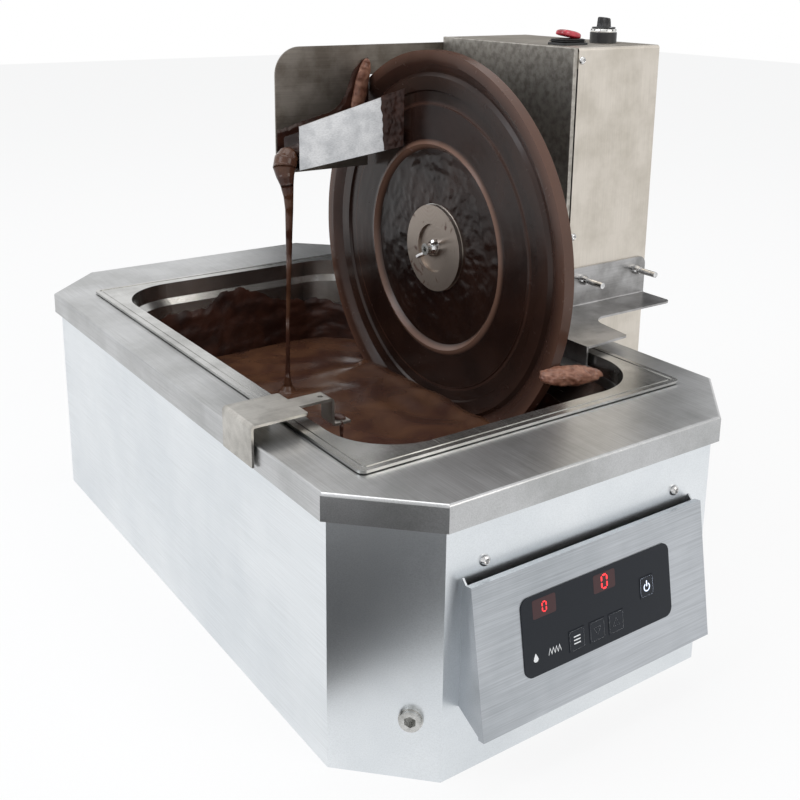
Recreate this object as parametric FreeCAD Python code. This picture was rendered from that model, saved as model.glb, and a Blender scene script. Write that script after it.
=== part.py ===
import FreeCAD, Part
import math
import os

V = FreeCAD.Vector

# Wheel tempering machine for chocolate. Millimetres. Frame: +X to the right of
# the control panel, +Y to the back, +Z up, z = 0 on the table. The origin lies
# under the middle of the deck.

# ---- sheet stock and clearances ---------------------------------------------
sheet = 1.5              # folded stainless casing sheet
plate = 2.0              # laser-cut plate of scraper, bracket, clip and hook
pan_sheet = 1.0
tank_sheet = 1.2
bend = 1.5               # inside radius of a fold
running_fit = 0.05       # radial clearance of a turning shaft, nut or knob
bore_gap = 0.05          # radial gap of a fixed piece in its hole
loose_fit = 0.3          # gap between pieces that slide past each other

# ---- food pan (GN 1/1, 150 deep) and the bath around it ---------------------
pan_width = 325.0
pan_depth = 530.0
pan_height = 150.0
pan_x = 2.0              # the pan sits a little off the middle of the deck
pan_y = -8.0
pan_flange = 17.0
pan_corner = 58.0        # corner radius of the pan's mouth
pan_rim_corner = 6.0
pan_rim_drop = 1.2       # turned-down edge of the rim
pan_taper = 3.5          # wall slope in degrees
pan_shoulder = 20.5      # depth of the middle of the stacking shoulder
shoulder_width = 4.0
shoulder_height = 7.0
pan_floor_radius = 18.0
rim_rise = 3.0           # top of the pan's rim above the deck
bath_depth = 32.0        # from the pan's floor down to the floor of the water bath
bath_gap = 9.0           # from the pan's mouth out to the wall of the water bath
bath_flange = 8.0
bath_clearance = 41.0    # height of the bath's floor above the table

# ---- deck and body ----------------------------------------------------------
side_border = 34.5       # deck left and right of the pan
end_border = 76.0        # deck in front of and behind the pan
deck_corner = 62.0       # 45 degree cut, measured along each side
deck_lip = 21.0
deck_overhang = 6.0
body_flange = 16.0

# ---- control box on the front face ------------------------------------------
panel_width = 231.0
panel_height = 111.6
panel_offset = -3.5      # middle of the panel from the middle of the deck
panel_drop = 64.0        # from the deck down to the panel's top edge
panel_standoff = 11.0    # panel's top edge in front of the body
panel_tilt = 9.8         # degrees from upright
panel_fold = 6.0
panel_seam = 1.0
overlay_width = 150.0
overlay_height = 59.0
overlay_rise = 4.5       # middle of the overlay above the middle of the panel
overlay_thickness = 0.8
overlay_corner = 7.0
key_travel = 0.35
key_gap = 0.1
keys = {                 # name: (across, up, width, height) on the panel
    "key_program": (-24.9, -11.0, 15.5, 16.0),
    "key_down": (-4.5, -11.0, 15.5, 16.0),
    "key_up": (15.0, -11.0, 15.5, 16.0),
    "key_power": (49.0, 6.0, 14.5, 16.5),
}
displays = [(-53.5, 23.5), (5.7, 23.5)]
display_size = (20.0, 15.0, 8.0)
board_drop = 12.0        # circuit board behind the panel's face

# ---- tempering wheel --------------------------------------------------------
wheel_side_gap = 42.5    # wheel's front from the pan's right wall
wheel_end_gap = 42.5     # wheel from the pan's front wall, at the height of the rim
wheel_floor_gap = 15.6   # wheel from the pan's floor
wheel_offset = 18.0      # wheel's axis behind the middle of the pan
wheel_sheet = 2.5
wheel_rim = 10.5         # width of the turned-back rim
hub_radius = 44.5
hub_recess = 25.0
shaft_radius = 8.0
stud_radius = 6.0

# ---- drive tower ------------------------------------------------------------
tower_gap = 4.5          # between the deck's edge and the tower
tower_width = 117.5
tower_front = 94.0       # tower's front and back from the wheel's axis
tower_back = 113.5
tower_above = 5.4        # tower's top above the top of the wheel
tower_hang = 70.0        # how far the tower reaches down below the deck
strip = 4.5              # edge strip of the left panel
strip_gap = 2.0          # open gap between the strip and the cover
gear_module = 2.5
pinion_teeth = 14
gear_teeth = 36
gear_width = 12.0
pinion_width = 15.0
mesh_backlash = 0.3      # spread over the two flanks
gearbox_wall = 4.0
gearbox_depth = 30.0
gear_margin = 10.0       # gearbox outline outside the large gear
gearbox_corner = 14.0
board_width = 40.0
bush_wall = 3.0
motor_radius = 30.0
motor_length = 74.0

# ---- scraper, chute, bracket and clip ---------------------------------------
scraper_gap = 2.0        # between a scraping edge and the wheel's rim
chute_length = 103.0
chute_lip_width = 33.0
chute_mouth_width = 66.0
chute_wall_lip = 44.0
chute_wall_mouth = 58.0
chute_fall = 21.0
bracket_height = 9.0     # bracket's lower face above the deck
bracket_plate = 42.0     # height of the bracket's plate on the tower
tab_clear = 33.0         # middle screw tab of the tower above the bracket's plate
clip_height = 15.0       # clip's upper face above the deck
clip_width = 48.0
clip_from_front = 154.0  # clip's front edge from the deck's front edge

# ---- sizes that follow ------------------------------------------------------
deck_width = pan_width + 2 * side_border
deck_depth = pan_depth + 2 * end_border
deck_z = bath_clearance + bath_depth + pan_height - rim_rise
rim_z = deck_z + rim_rise
pan_floor_z = rim_z - pan_height
bath_z = pan_floor_z - bath_depth
under_deck = deck_z - sheet
mouth_half_x = pan_width / 2 - pan_flange
mouth_half_y = pan_depth / 2 - pan_flange
body_x = deck_width / 2 - deck_overhang
body_y = deck_depth / 2 - deck_overhang

wheel_reach = mouth_half_y - wheel_offset - wheel_end_gap
wheel_dip = pan_height - wheel_floor_gap
wheel_radius = (wheel_reach ** 2 + wheel_dip ** 2) / (2 * wheel_dip)
wheel_y = pan_y + wheel_offset
wheel_z = pan_floor_z + wheel_floor_gap + wheel_radius
wheel_x = pan_x + mouth_half_x - wheel_side_gap
wheel_back = wheel_x + wheel_rim

tower_x = deck_width / 2 + tower_gap
tower_end = tower_x + tower_width
tower_y = wheel_y - tower_front
tower_rear = wheel_y + tower_back
tower_z = deck_z - tower_hang
tower_top = wheel_z + wheel_radius + tower_above


# ---- shapes used all over ---------------------------------------------------
def box(x0, x1, y0, y1, z0, z1):
    return Part.makeBox(x1 - x0, y1 - y0, z1 - z0, V(x0, y0, z0))


def rod_x(x0, x1, y, z, radius):
    return Part.makeCylinder(radius, x1 - x0, V(x0, y, z), V(1, 0, 0))


def rod_y(x, y0, y1, z, radius):
    return Part.makeCylinder(radius, y1 - y0, V(x, y0, z), V(0, 1, 0))


def rod_z(x, y, z0, z1, radius):
    return Part.makeCylinder(radius, z1 - z0, V(x, y, z0), V(0, 0, 1))


def on_level(z):
    return lambda u, v: V(u, v, z)


def on_front(y):
    return lambda u, v: V(u, y, v)


def on_side(x):
    return lambda u, v: V(x, u, v)


def outline(corners, place):
    """Closed wire through (u, v, corner radius), laid in space by place(u, v)."""
    count = len(corners)
    stops = []
    for i, (u, v, radius) in enumerate(corners):
        before = corners[i - 1]
        after = corners[(i + 1) % count]
        here = V(u, v, 0)
        to_before = (V(before[0], before[1], 0) - here).normalize()
        to_after = (V(after[0], after[1], 0) - here).normalize()
        if radius <= 0:
            stops.append((here, None, here))
            continue
        half = to_before.getAngle(to_after) / 2
        reach = radius / math.tan(half)
        middle = (to_before + to_after).normalize() * (radius / math.sin(half) - radius)
        stops.append((here + to_before * reach, here + middle, here + to_after * reach))
    edges = []
    for i, (start, middle, end) in enumerate(stops):
        if middle is not None:
            arc = Part.Arc(place(start.x, start.y), place(middle.x, middle.y), place(end.x, end.y))
            edges.append(arc.toShape())
        following = stops[(i + 1) % count][0]
        if (following - end).Length > 1e-6:
            edges.append(Part.makeLine(place(end.x, end.y), place(following.x, following.y)))
    return Part.Wire(edges)


def prism(corners, place, push):
    return Part.Face(outline(corners, place)).extrude(push)


def rectangle(x0, x1, y0, y1, radius=0.0):
    return [(x0, y0, radius), (x1, y0, radius), (x1, y1, radius), (x0, y1, radius)]


def centred(half_x, half_y, radius, x=0.0, y=0.0):
    return rectangle(x - half_x, x + half_x, y - half_y, y + half_y, radius)


def folded(points, thickness, place, push, inside=bend):
    """Bent sheet: points run along one face, the sheet lies to their left."""
    path = [V(u, v, 0) for u, v in points]
    steps = [(path[i + 1] - path[i]).normalize() for i in range(len(path) - 1)]
    lefts = [V(-step.y, step.x, 0) for step in steps]
    first = [(path[0].x, path[0].y, 0)]
    second = [path[0] + lefts[0] * thickness]
    second = [(second[0].x, second[0].y, 0)]
    for i in range(1, len(path) - 1):
        shared = lefts[i - 1] + lefts[i]
        shared = shared * (thickness / (1 + lefts[i - 1].dot(lefts[i])))
        turns_left = steps[i - 1].cross(steps[i]).z > 0
        near = inside + thickness if turns_left else inside
        far = inside if turns_left else inside + thickness
        first.append((path[i].x, path[i].y, near))
        second.append((path[i].x + shared.x, path[i].y + shared.y, far))
    last = path[-1] + lefts[-1] * thickness
    first.append((path[-1].x, path[-1].y, 0))
    second.append((last.x, last.y, 0))
    return prism(first + second[::-1], place, push)


def fuse(shapes):
    whole = shapes[0]
    for shape in shapes[1:]:
        whole = whole.fuse(shape)
    return whole.removeSplitter()


def cut(shape, tools):
    for tool in tools:
        shape = shape.cut(tool)
    return shape


def group(shapes):
    return Part.makeCompound(shapes)


def turned(profile, centre, axis):
    """Solid of revolution: profile holds (along, radius) about axis X, Y or Z."""
    ways = {"x": (V(1, 0, 0), V(0, 0, 1)), "y": (V(0, 1, 0), V(0, 0, 1)), "z": (V(0, 0, 1), V(1, 0, 0))}
    along, out = ways[axis]
    points = [centre + along * a + out * r for a, r in profile]
    face = Part.Face(Part.makePolygon(points + points[:1]))
    return face.revolve(centre, along, 360)


def hexagon(centre, outward, across, length):
    """Hexagon nut or bolt head that stands on centre, across its flats."""
    side = V(0, 0, 1) if abs(outward.z) < 0.5 else V(1, 0, 0)
    other = outward.cross(side)
    reach = across / math.sqrt(3)
    points = []
    for i in range(6):
        angle = math.radians(60 * i)
        points.append(centre + side * (reach * math.cos(angle)) + other * (reach * math.sin(angle)))
    return Part.Face(Part.makePolygon(points + points[:1])).extrude(outward * length)


def wing_nut(hub, height, span, wing, rise, bore):
    """Wing nut on the Z axis, base at z = 0, wings along X, pressed from thick sheet."""
    thickness = 0.4 * hub
    shape = Part.makeCylinder(hub, height)
    for side in (1, -1):
        blade = [
            (side * 0.3 * hub, 0.05 * height, 0), (side * 1.15 * hub, 0.05 * height, 0),
            (side * span, rise - wing, wing), (side * (span - 0.4 * wing), rise + wing, wing),
            (side * (span - 2.4 * wing), rise + 0.4 * wing, 0), (side * 0.3 * hub, 0.8 * height, 0),
        ]
        if side < 0:
            blade = blade[::-1]
        shape = shape.fuse(prism(blade, on_front(-thickness / 2), V(0, thickness, 0)))
    shape = shape.removeSplitter()
    return shape.cut(Part.makeCylinder(bore, 4 * height, V(0, 0, -height)))


# ---- base -------------------------------------------------------------------
def octagon(inset):
    """The deck's outline, drawn in by inset on every side."""
    half_x = deck_width / 2 - inset
    half_y = deck_depth / 2 - inset
    corner = deck_corner - inset * (2 - math.sqrt(2))
    points = []
    for side_x, side_y in ((1, -1), (1, 1), (-1, 1), (-1, -1)):
        near_x = (side_x * (half_x - corner), side_y * half_y, 0)
        near_y = (side_x * half_x, side_y * (half_y - corner), 0)
        points += [near_x, near_y] if side_x * side_y < 0 else [near_y, near_x]
    return points


def mouth(grow):
    """The pan's mouth, widened by grow."""
    return centred(mouth_half_x + grow, mouth_half_y + grow, pan_corner + grow, pan_x, pan_y)


def top_edges(shape, z):
    level = [edge for edge in shape.Edges if edge.BoundBox.ZLength < 1e-4]
    return [edge for edge in level if abs(edge.BoundBox.ZMin - z) < 1e-4]


def deck_cover():
    outer = prism(octagon(0), on_level(deck_z - deck_lip), V(0, 0, deck_lip))
    outer = outer.makeFillet(bend + sheet / 2, top_edges(outer, deck_z))
    inner = prism(octagon(sheet), on_level(deck_z - deck_lip), V(0, 0, deck_lip - sheet))
    hole = prism(mouth(bath_gap - 4), on_level(under_deck - 1), V(0, 0, sheet + 2))
    return cut(outer, [inner, hole])


def body_shell():
    wall = prism(octagon(deck_overhang), on_level(0), V(0, 0, under_deck))
    wall = wall.cut(prism(octagon(deck_overhang + sheet), on_level(-1), V(0, 0, under_deck + 2)))
    shell = wall
    for level in (sheet, under_deck - sheet):
        flange = prism(octagon(deck_overhang + sheet / 2), on_level(level), V(0, 0, sheet))
        hole = prism(octagon(deck_overhang + sheet + body_flange), on_level(level - 1), V(0, 0, sheet + 2))
        shell = shell.fuse(flange.cut(hole))
    shell = shell.removeSplitter()
    x, y, z = drain_seat()
    inward = V(1, 1, 0).normalize()
    drain_hole = Part.makeCylinder(drain_radius + bore_gap, 30, V(x, y, z) - inward * 15, inward)
    cable_hole = prism(centred(overlay_width / 2 + 3, 38, 0, panel_offset, panel_z),
                       on_front(-body_y - 3), V(0, 6, 0))
    inlet_hole = prism(centred(inlet_half_x, inlet_half_z, 0, inlet_x, inlet_z), on_front(body_y - 3),
                       V(0, 6, 0))
    probe_hole = rod_y(probe_socket_x, body_y - 3, body_y + 3, inlet_z, 7 + bore_gap)
    return cut(shell, [drain_hole, cable_hole, inlet_hole, probe_hole])


def base_plate():
    return prism(octagon(deck_overhang + sheet + bore_gap), on_level(0), V(0, 0, sheet))


# ---- water bath, heater and sensors -----------------------------------------
bath_front = pan_y - mouth_half_y - bath_gap - tank_sheet   # outer face of the bath's front wall
fitting_z = bath_z + 15
element_half = 30.0      # half the distance between the element's legs
element_radius = 4.0
level_x = pan_x + 80.0
thermo_x = pan_x - 62.0
drain_radius = 9.0
drain_bore = 7.0
drain_side = 19.4        # drain from the middle of the chamfer, towards the front


def drain_seat():
    """Middle of the drain where it leaves the body's front left chamfer."""
    middle_x = -body_x + (deck_corner - deck_overhang * (2 - math.sqrt(2))) / 2
    middle_y = -body_y + (deck_corner - deck_overhang * (2 - math.sqrt(2))) / 2
    step = drain_side / math.sqrt(2)
    return middle_x + step, middle_y - step, bath_z + drain_radius


def drain_run():
    """Length of the pipe from the chamfer to just inside the bath's corner."""
    x, y, _ = drain_seat()
    radius = pan_corner + bath_gap
    corner_x = pan_x - mouth_half_x + pan_corner - x
    corner_y = pan_y - mouth_half_y + pan_corner - y
    along = (corner_x + corner_y) / math.sqrt(2)
    aside = (corner_y - corner_x) / math.sqrt(2)
    return along - math.sqrt(radius ** 2 - aside ** 2) + 3


def drain_pipe():
    x, y, z = drain_seat()
    inward = V(1, 1, 0).normalize()
    pipe = Part.makeCylinder(drain_radius, drain_run() + 2, V(x, y, z) - inward * 2, inward)
    bore = Part.makeCylinder(drain_bore, drain_run() + 8, V(x, y, z) - inward * 4, inward)
    return pipe.cut(bore)


def drain_plug():
    x, y, z = drain_seat()
    inward = V(1, 1, 0).normalize()
    seat = V(x, y, z) - inward * 2
    head = Part.makeCylinder(drain_radius - 0.8, 2.5, seat, inward * -1)
    stem = Part.makeCylinder(drain_bore - bore_gap, 12, seat, inward)
    return head.fuse(stem).removeSplitter().cut(hexagon(seat - inward * 3, inward, 8, 8))


def water_bath():
    outer = prism(mouth(bath_gap + tank_sheet), on_level(bath_z - tank_sheet),
                  V(0, 0, under_deck - bath_z + tank_sheet))
    flange = prism(mouth(bath_gap + bath_flange), on_level(under_deck - tank_sheet), V(0, 0, tank_sheet))
    inner = prism(mouth(bath_gap), on_level(bath_z), V(0, 0, under_deck - bath_z + 1))
    tank = outer.fuse(flange).removeSplitter().cut(inner)
    saddle = box(pan_x - element_half - 10, pan_x + element_half + 10, pan_y + 110, pan_y + 113,
                 bath_z - tank_sheet / 2, fitting_z - element_radius - bore_gap)
    tank = tank.fuse(saddle).removeSplitter()
    x, y, z = drain_seat()
    inward = V(1, 1, 0).normalize()
    holes = [Part.makeCylinder(drain_radius + bore_gap, drain_run() + 40, V(x, y, z), inward)]
    slot = element_radius + bore_gap
    for place in (pan_x - element_half, pan_x + element_half):
        holes.append(box(place - slot, place + slot, bath_front - 5, bath_front + 15, fitting_z - slot,
                         fitting_z + slot))
    for place, radius in ((level_x, 5.0), (thermo_x, 3.0)):
        holes.append(rod_y(place, bath_front - 5, bath_front + 15, fitting_z, radius + bore_gap))
    return cut(tank, holes)


def heating_element():
    """Hairpin of flat sheathed heating tube, with a hexagon flange nut at each leg."""
    thick = 2 * element_radius
    start = bath_front - 16
    turn = pan_y + mouth_half_y - 30
    outer = element_half + element_radius
    inner = element_half - element_radius
    hairpin = prism([(pan_x - outer, start, 0), (pan_x + outer, start, 0), (pan_x + outer, turn, outer - 1),
                     (pan_x - outer, turn, outer - 1)], on_level(fitting_z - element_radius), V(0, 0, thick))
    inside = prism([(pan_x - inner, start - 5, 0), (pan_x + inner, start - 5, 0),
                    (pan_x + inner, turn - thick, inner - 1), (pan_x - inner, turn - thick, inner - 1)],
                   on_level(fitting_z - thick), V(0, 0, 2 * thick))
    nuts = [hexagon(V(pan_x + side * element_half, bath_front, fitting_z), V(0, -1, 0), 17,
                    8) for side in (-1, 1)]
    return fuse([hairpin.cut(inside)] + nuts)


def water_level_sensor():
    stem = rod_y(level_x, bath_front, bath_front + 46, fitting_z, 5)
    float_body = hexagon(V(level_x, bath_front + 18, fitting_z), V(0, 1, 0), 16, 24)
    return fuse([stem, float_body, hexagon(V(level_x, bath_front, fitting_z), V(0, -1, 0), 19, 10)])


def water_thermometer():
    stem = rod_y(thermo_x, bath_front, bath_front + 55, fitting_z, 3)
    return fuse([stem, hexagon(V(thermo_x, bath_front, fitting_z), V(0, -1, 0), 14, 9)])


# ---- pan --------------------------------------------------------------------
def pan_sections(grow):
    """Levels of the pan's inside (or outside, with grow) as (z, inset)."""
    slope = math.tan(math.radians(pan_taper))
    shoulder_z = rim_z - pan_shoulder
    low = shoulder_z - shoulder_height / 2
    high = shoulder_z + shoulder_height / 2
    floor = pan_floor_z
    knee = floor + pan_floor_radius
    knee_inset = shoulder_width + (low - knee) * slope
    levels = [(high, 0.4), (low, shoulder_width)]
    for angle in (0, 90):
        swing = math.radians(angle)
        inset = knee_inset + (pan_floor_radius + grow) * (1 - math.cos(swing))
        levels.append((knee - (pan_floor_radius + grow) * math.sin(swing), inset))
    return levels


def pan_body(grow, top):
    wires = [outline(mouth(grow), on_level(top))]
    for z, inset in pan_sections(grow):
        half_x = mouth_half_x + grow - inset
        half_y = mouth_half_y + grow - inset
        wires.append(outline(centred(half_x, half_y, pan_corner + grow, pan_x, pan_y), on_level(z)))
    return Part.makeLoft(wires, True, True)


def food_pan():
    half_x = pan_width / 2
    half_y = pan_depth / 2
    inside = pan_body(0, rim_z + 1)
    outside = pan_body(pan_sheet, rim_z - pan_sheet / 2)
    rim = prism(centred(half_x, half_y, pan_rim_corner, pan_x, pan_y), on_level(rim_z - pan_sheet),
                V(0, 0, pan_sheet))
    edge = prism(centred(half_x, half_y, pan_rim_corner, pan_x, pan_y),
                 on_level(rim_z - pan_sheet - pan_rim_drop), V(0, 0, pan_sheet + pan_rim_drop))
    edge = edge.cut(prism(centred(half_x - 1, half_y - 1, pan_rim_corner - 1, pan_x, pan_y),
                          on_level(rim_z - 5), V(0, 0, 10)))
    groove = prism(centred(half_x - 4, half_y - 4, pan_rim_corner - 3, pan_x, pan_y),
                   on_level(rim_z - pan_sheet / 2), V(0, 0, 2))
    groove = groove.cut(prism(centred(half_x - 6.5, half_y - 6.5, 3, pan_x, pan_y), on_level(rim_z - 3),
                              V(0, 0, 6)))
    pan = fuse([outside, rim, edge])
    return cut(pan, [inside, groove])


def pan_seal():
    """Flat seal under the pan's rim, laid as four mitred strips."""
    inner = pan_flange - 12
    height = rim_rise - pan_sheet
    half_x = mouth_half_x + inner
    half_y = mouth_half_y + inner
    ring = prism(centred(half_x + 7, half_y + 7, 0, pan_x, pan_y), on_level(deck_z), V(0, 0, height))
    return ring.cut(prism(centred(half_x + 1, half_y + 1, 0, pan_x, pan_y), on_level(deck_z - 1),
                          V(0, 0, height + 2)))


# ---- control box ------------------------------------------------------------
lean = math.radians(panel_tilt)
panel_y = -body_y - panel_standoff - panel_height / 2 * math.sin(lean)
panel_z = deck_z - panel_drop - panel_height / 2 * math.cos(lean)
dome_z = deck_z - 54.0
dome_places = (panel_offset - 95.5, panel_offset + 95.5)
inlet_x = 110.0
inlet_z = 62.0
inlet_half_x = 14.0
inlet_half_z = 10.0
probe_socket_x = 55.0


def on_panel(depth):
    """Plane of the panel: u across, v up, depth out of its front face."""
    def place(u, v):
        y = panel_y + v * math.sin(lean) - depth * math.cos(lean)
        z = panel_z + v * math.cos(lean) + depth * math.sin(lean)
        return V(panel_offset + u, y, z)
    return place


def panel_out(length):
    return V(0, -math.cos(lean), math.sin(lean)) * length


def panel_block(u, v, width, height, low, high, radius=0.0):
    corners = rectangle(u - width / 2, u + width / 2, v - height / 2, v + height / 2, radius)
    return prism(corners, on_panel(low), panel_out(high - low))


def control_front_plate():
    tray = panel_block(0, 0, panel_width, panel_height, -panel_fold, 0)
    hollow = panel_block(0, 0, panel_width - 2 * sheet, panel_height - 2 * sheet, -panel_fold - 1, -sheet)
    windows = [panel_block(u, v, display_size[0], display_size[1], -sheet - 1, 1) for u, v in displays]
    studs = []
    for u in (-overlay_width / 2 + 7, overlay_width / 2 - 7):
        for v in (overlay_rise - overlay_height / 2 + 6, overlay_rise + overlay_height / 2 - 6):
            studs.append(panel_block(u, v, 5, 5, -board_drop, -sheet / 2))
    return fuse([cut(tray, [hollow] + windows)] + studs)


def membrane_overlay():
    shape = panel_block(0, overlay_rise, overlay_width, overlay_height, 0, overlay_thickness, overlay_corner)
    pockets = [panel_block(u, v, w + 2 * key_gap, h + 2 * key_gap, -1, 3) for u, v, w, h in keys.values()]
    return cut(shape, pockets)


def key_pad(name):
    u, v, width, height = keys[name]
    base = key_travel + 0.1
    return panel_block(u, v, width, height, base, base + overlay_thickness - 0.1)


def led_displays():
    width, height, depth = display_size
    gap = 2 * bore_gap
    return group([panel_block(u, v, width - gap, height - gap, -depth, 0) for u, v in displays])


def circuit_board():
    board = panel_block(0, overlay_rise, overlay_width - 6, overlay_height - 4, -board_drop - 1.6,
                        -board_drop)
    relay = panel_block(-52, -8, 20, 16, -board_drop - 16, -board_drop - 1.6)
    transformer = panel_block(45, -5, 32, 28, -board_drop - 18, -board_drop - 1.6)
    terminals = panel_block(0, -14, 50, 9, -board_drop - 12, -board_drop - 1.6)
    return fuse([board, relay, transformer, terminals])


def box_gasket():
    ring = panel_block(0, 0, panel_width - 2, panel_height - 2, -panel_fold - panel_seam, -panel_fold)
    return ring.cut(panel_block(0, 0, panel_width - 10, panel_height - 10, -panel_fold - 3, 0))


def control_box_shell():
    """Wedge box: its front follows the tilted panel, its back lies on the body."""
    reach = panel_height / 2 - 1
    front = on_panel(-panel_fold - panel_seam)
    top_front = front(0, reach)
    low_front = front(0, -reach)
    top_back = deck_z - 62
    low_back = top_back - 101
    half = panel_width / 2 - 1
    push = V(2 * half, 0, 0)
    left = panel_offset - half
    side = on_side(left)
    roof = folded([(-body_y, top_back - 12), (-body_y, top_back), (top_front.y, top_front.z)],
                  sheet, side, push)
    floor = folded([(low_front.y, low_front.z), (-body_y, low_back), (-body_y, low_back + 12)],
                   sheet, side, push)
    cheek = [(top_front.y, top_front.z, 0), (-body_y, top_back, 0), (-body_y, low_back, 0),
             (low_front.y, low_front.z, 0)]
    cheeks = [prism(cheek, on_side(x), V(sheet, 0, 0)) for x in (left, left + 2 * half - sheet)]
    ahead = panel_block(0, 0, panel_width + 20, panel_height + 20, -panel_fold - panel_seam, 40)
    return fuse([roof, floor] + cheeks).cut(ahead)


def dome_screws():
    return group([rod_y(x, -body_y - 3.2, -body_y, dome_z, 4.5) for x in dome_places])


# ---- back of the body -------------------------------------------------------
def power_inlet():
    """Mains inlet for an appliance lead, with its three pins."""
    bezel = prism(centred(inlet_half_x + 3, inlet_half_z + 3, 0, inlet_x, inlet_z), on_front(body_y),
                  V(0, 3, 0))
    well = prism(centred(inlet_half_x - 1, inlet_half_z - 1, 0, inlet_x, inlet_z),
                 on_front(body_y - 14), V(0, 20, 0))
    core = prism(centred(inlet_half_x - bore_gap, inlet_half_z - bore_gap, 0, inlet_x, inlet_z),
                 on_front(body_y - 18), V(0, 18, 0))
    shape = fuse([bezel, core]).cut(well)
    pins = [box(inlet_x + dx - 1, inlet_x + dx + 1, body_y - 15, body_y - 3, inlet_z + dz - 2,
                inlet_z + dz + 2)
            for dx, dz in ((-7, -1), (0, 2), (7, -1))]
    return fuse([shape] + pins)


def probe_socket():
    flange = hexagon(V(probe_socket_x, body_y, inlet_z), V(0, 1, 0), 18, 2.5)
    core = rod_y(probe_socket_x, body_y - 12, body_y, inlet_z, 7)
    return fuse([flange, core]).cut(rod_y(probe_socket_x, body_y - 6, body_y + 4, inlet_z, 5))


# ---- tempering wheel --------------------------------------------------------
def tempering_wheel():
    """Spun disc: flat web, ring bead, flat annulus, two steps, a channel and a turned-back rim."""
    rim = wheel_radius
    front = [
        (7.5, stud_radius + bore_gap), (7.5, rim - 97), (2.2, rim - 92), (4.5, rim - 87), (4.5, rim - 53),
        (6.0, rim - 52.5), (6.0, rim - 40), (3.5, rim - 38.5), (3.5, rim - 25), (6.5, rim - 21.5),
        (0.0, rim - 10.5), (0.0, rim),
    ]
    back = [
        (wheel_rim, rim), (wheel_rim, rim - wheel_sheet), (2.8, rim - wheel_sheet), (2.8, rim - 11),
        (9.0, rim - 22), (6.0, rim - 26), (8.5, rim - 40), (7.0, rim - 87), (10.0, rim - 98),
        (10.0, stud_radius + bore_gap),
    ]
    return turned(front + back, V(wheel_x, wheel_y, wheel_z), "x")


web_front = wheel_x + 7.5
web_back = web_front + wheel_sheet
washer_front = web_front - 4.5
nut_seat = washer_front + 3.0


def hub_washer():
    profile = [
        (0, hub_recess), (0, hub_radius), (4.5, hub_radius), (4.5, stud_radius + bore_gap),
        (3.0, stud_radius + bore_gap), (3.0, hub_recess),
    ]
    return turned(profile, V(washer_front, wheel_y, wheel_z), "x")


def wheel_hub():
    """Flange behind the disc and a boss that grips the shaft."""
    profile = [
        (0, shaft_radius + bore_gap), (0, 40), (5, 40), (5, 17), (31, 17), (31, shaft_radius + bore_gap),
    ]
    return turned(profile, V(web_back, wheel_y, wheel_z), "x")


def wheel_nut():
    shape = wing_nut(8.5, 9.5, 19.0, 3.6, 11.5, stud_radius + running_fit)
    shape.rotate(V(0, 0, 0), V(0, 0, 1), nut_turn)
    shape.rotate(V(0, 0, 0), V(0, 1, 0), -90)
    shape.translate(V(nut_seat, wheel_y, wheel_z))
    return shape


nut_turn = 129.0         # the wings point up to the front and down to the back


# ---- gearbox and motor ------------------------------------------------------
box_front = tower_x + sheet                   # gearbox face against the left panel
lid_front = box_front + gearbox_depth
lid_back = lid_front + gearbox_wall
gear_centre = gear_module * (pinion_teeth + gear_teeth) / 2
motor_z = wheel_z + gear_centre
gear_radius = gear_module * gear_teeth / 2
gear_front = box_front + 13
bush_radius = shaft_radius + bush_wall
shaft_end = lid_back + 6
pinion_bore = 5.0


def involute(base, radius):
    """Angle of the involute of the base circle, where it reaches radius."""
    grip = math.acos(min(1.0, base / radius))
    return math.tan(grip) - grip


def spur_gear(teeth, width, x, z, bore, turn):
    """Spur gear on an axis along X. Its flanks join the points of a 20 degree involute at root and tip."""
    pitch = gear_module * teeth / 2
    base = pitch * math.cos(math.radians(20))
    tip = pitch + gear_module
    root = pitch - 1.25 * gear_module
    half_tooth = (math.pi * gear_module / 2 - mesh_backlash / 2) / pitch / 2 + involute(base, pitch)
    points = []
    for i in range(teeth):
        middle = turn + 2 * math.pi * i / teeth
        for side, radius in ((-1, root), (-1, tip), (1, tip), (1, root)):
            angle = middle + side * (half_tooth - involute(base, max(base, radius)))
            points.append(V(x, wheel_y + radius * math.cos(angle), z + radius * math.sin(angle)))
    gear = Part.Face(Part.makePolygon(points + points[:1])).extrude(V(width, 0, 0))
    return gear.cut(rod_x(x - 1, x + width + 1, wheel_y, z, bore))


def output_gear():
    gear = spur_gear(gear_teeth, gear_width, gear_front, wheel_z, shaft_radius + bore_gap, math.pi / 2)
    return gear.cut(key_slot())


def key_slot():
    """Slot for the parallel key that drives the shaft."""
    return box(gear_front, gear_front + gear_width, wheel_y - 2.5, wheel_y + 2.5,
               wheel_z + shaft_radius - 3, wheel_z + shaft_radius + 2.3)


def gear_key():
    return box(gear_front + 0.2, gear_front + gear_width - 0.2, wheel_y - 2.5 + bore_gap,
               wheel_y + 2.5 - bore_gap,
               wheel_z + shaft_radius - 3 + bore_gap, wheel_z + shaft_radius + 2.3 - bore_gap)


def drive_shaft():
    body = rod_x(web_back, shaft_end - 1, wheel_y, wheel_z, shaft_radius)
    stud = rod_x(nut_seat - 12.5, web_back, wheel_y, wheel_z, stud_radius)
    centre_hole = rod_x(nut_seat - 14, nut_seat - 8.5, wheel_y, wheel_z, 2.4)
    return cut(fuse([body, stud]), [centre_hole, key_slot()])


def motor_pinion():
    turn = -math.pi / 2 + math.pi / pinion_teeth
    return spur_gear(pinion_teeth, pinion_width, gear_front - 1.5, motor_z, pinion_bore + bore_gap, turn)


def motor_shaft():
    return rod_x(gear_front - 3, lid_back + 12, wheel_y, motor_z, pinion_bore)


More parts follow.
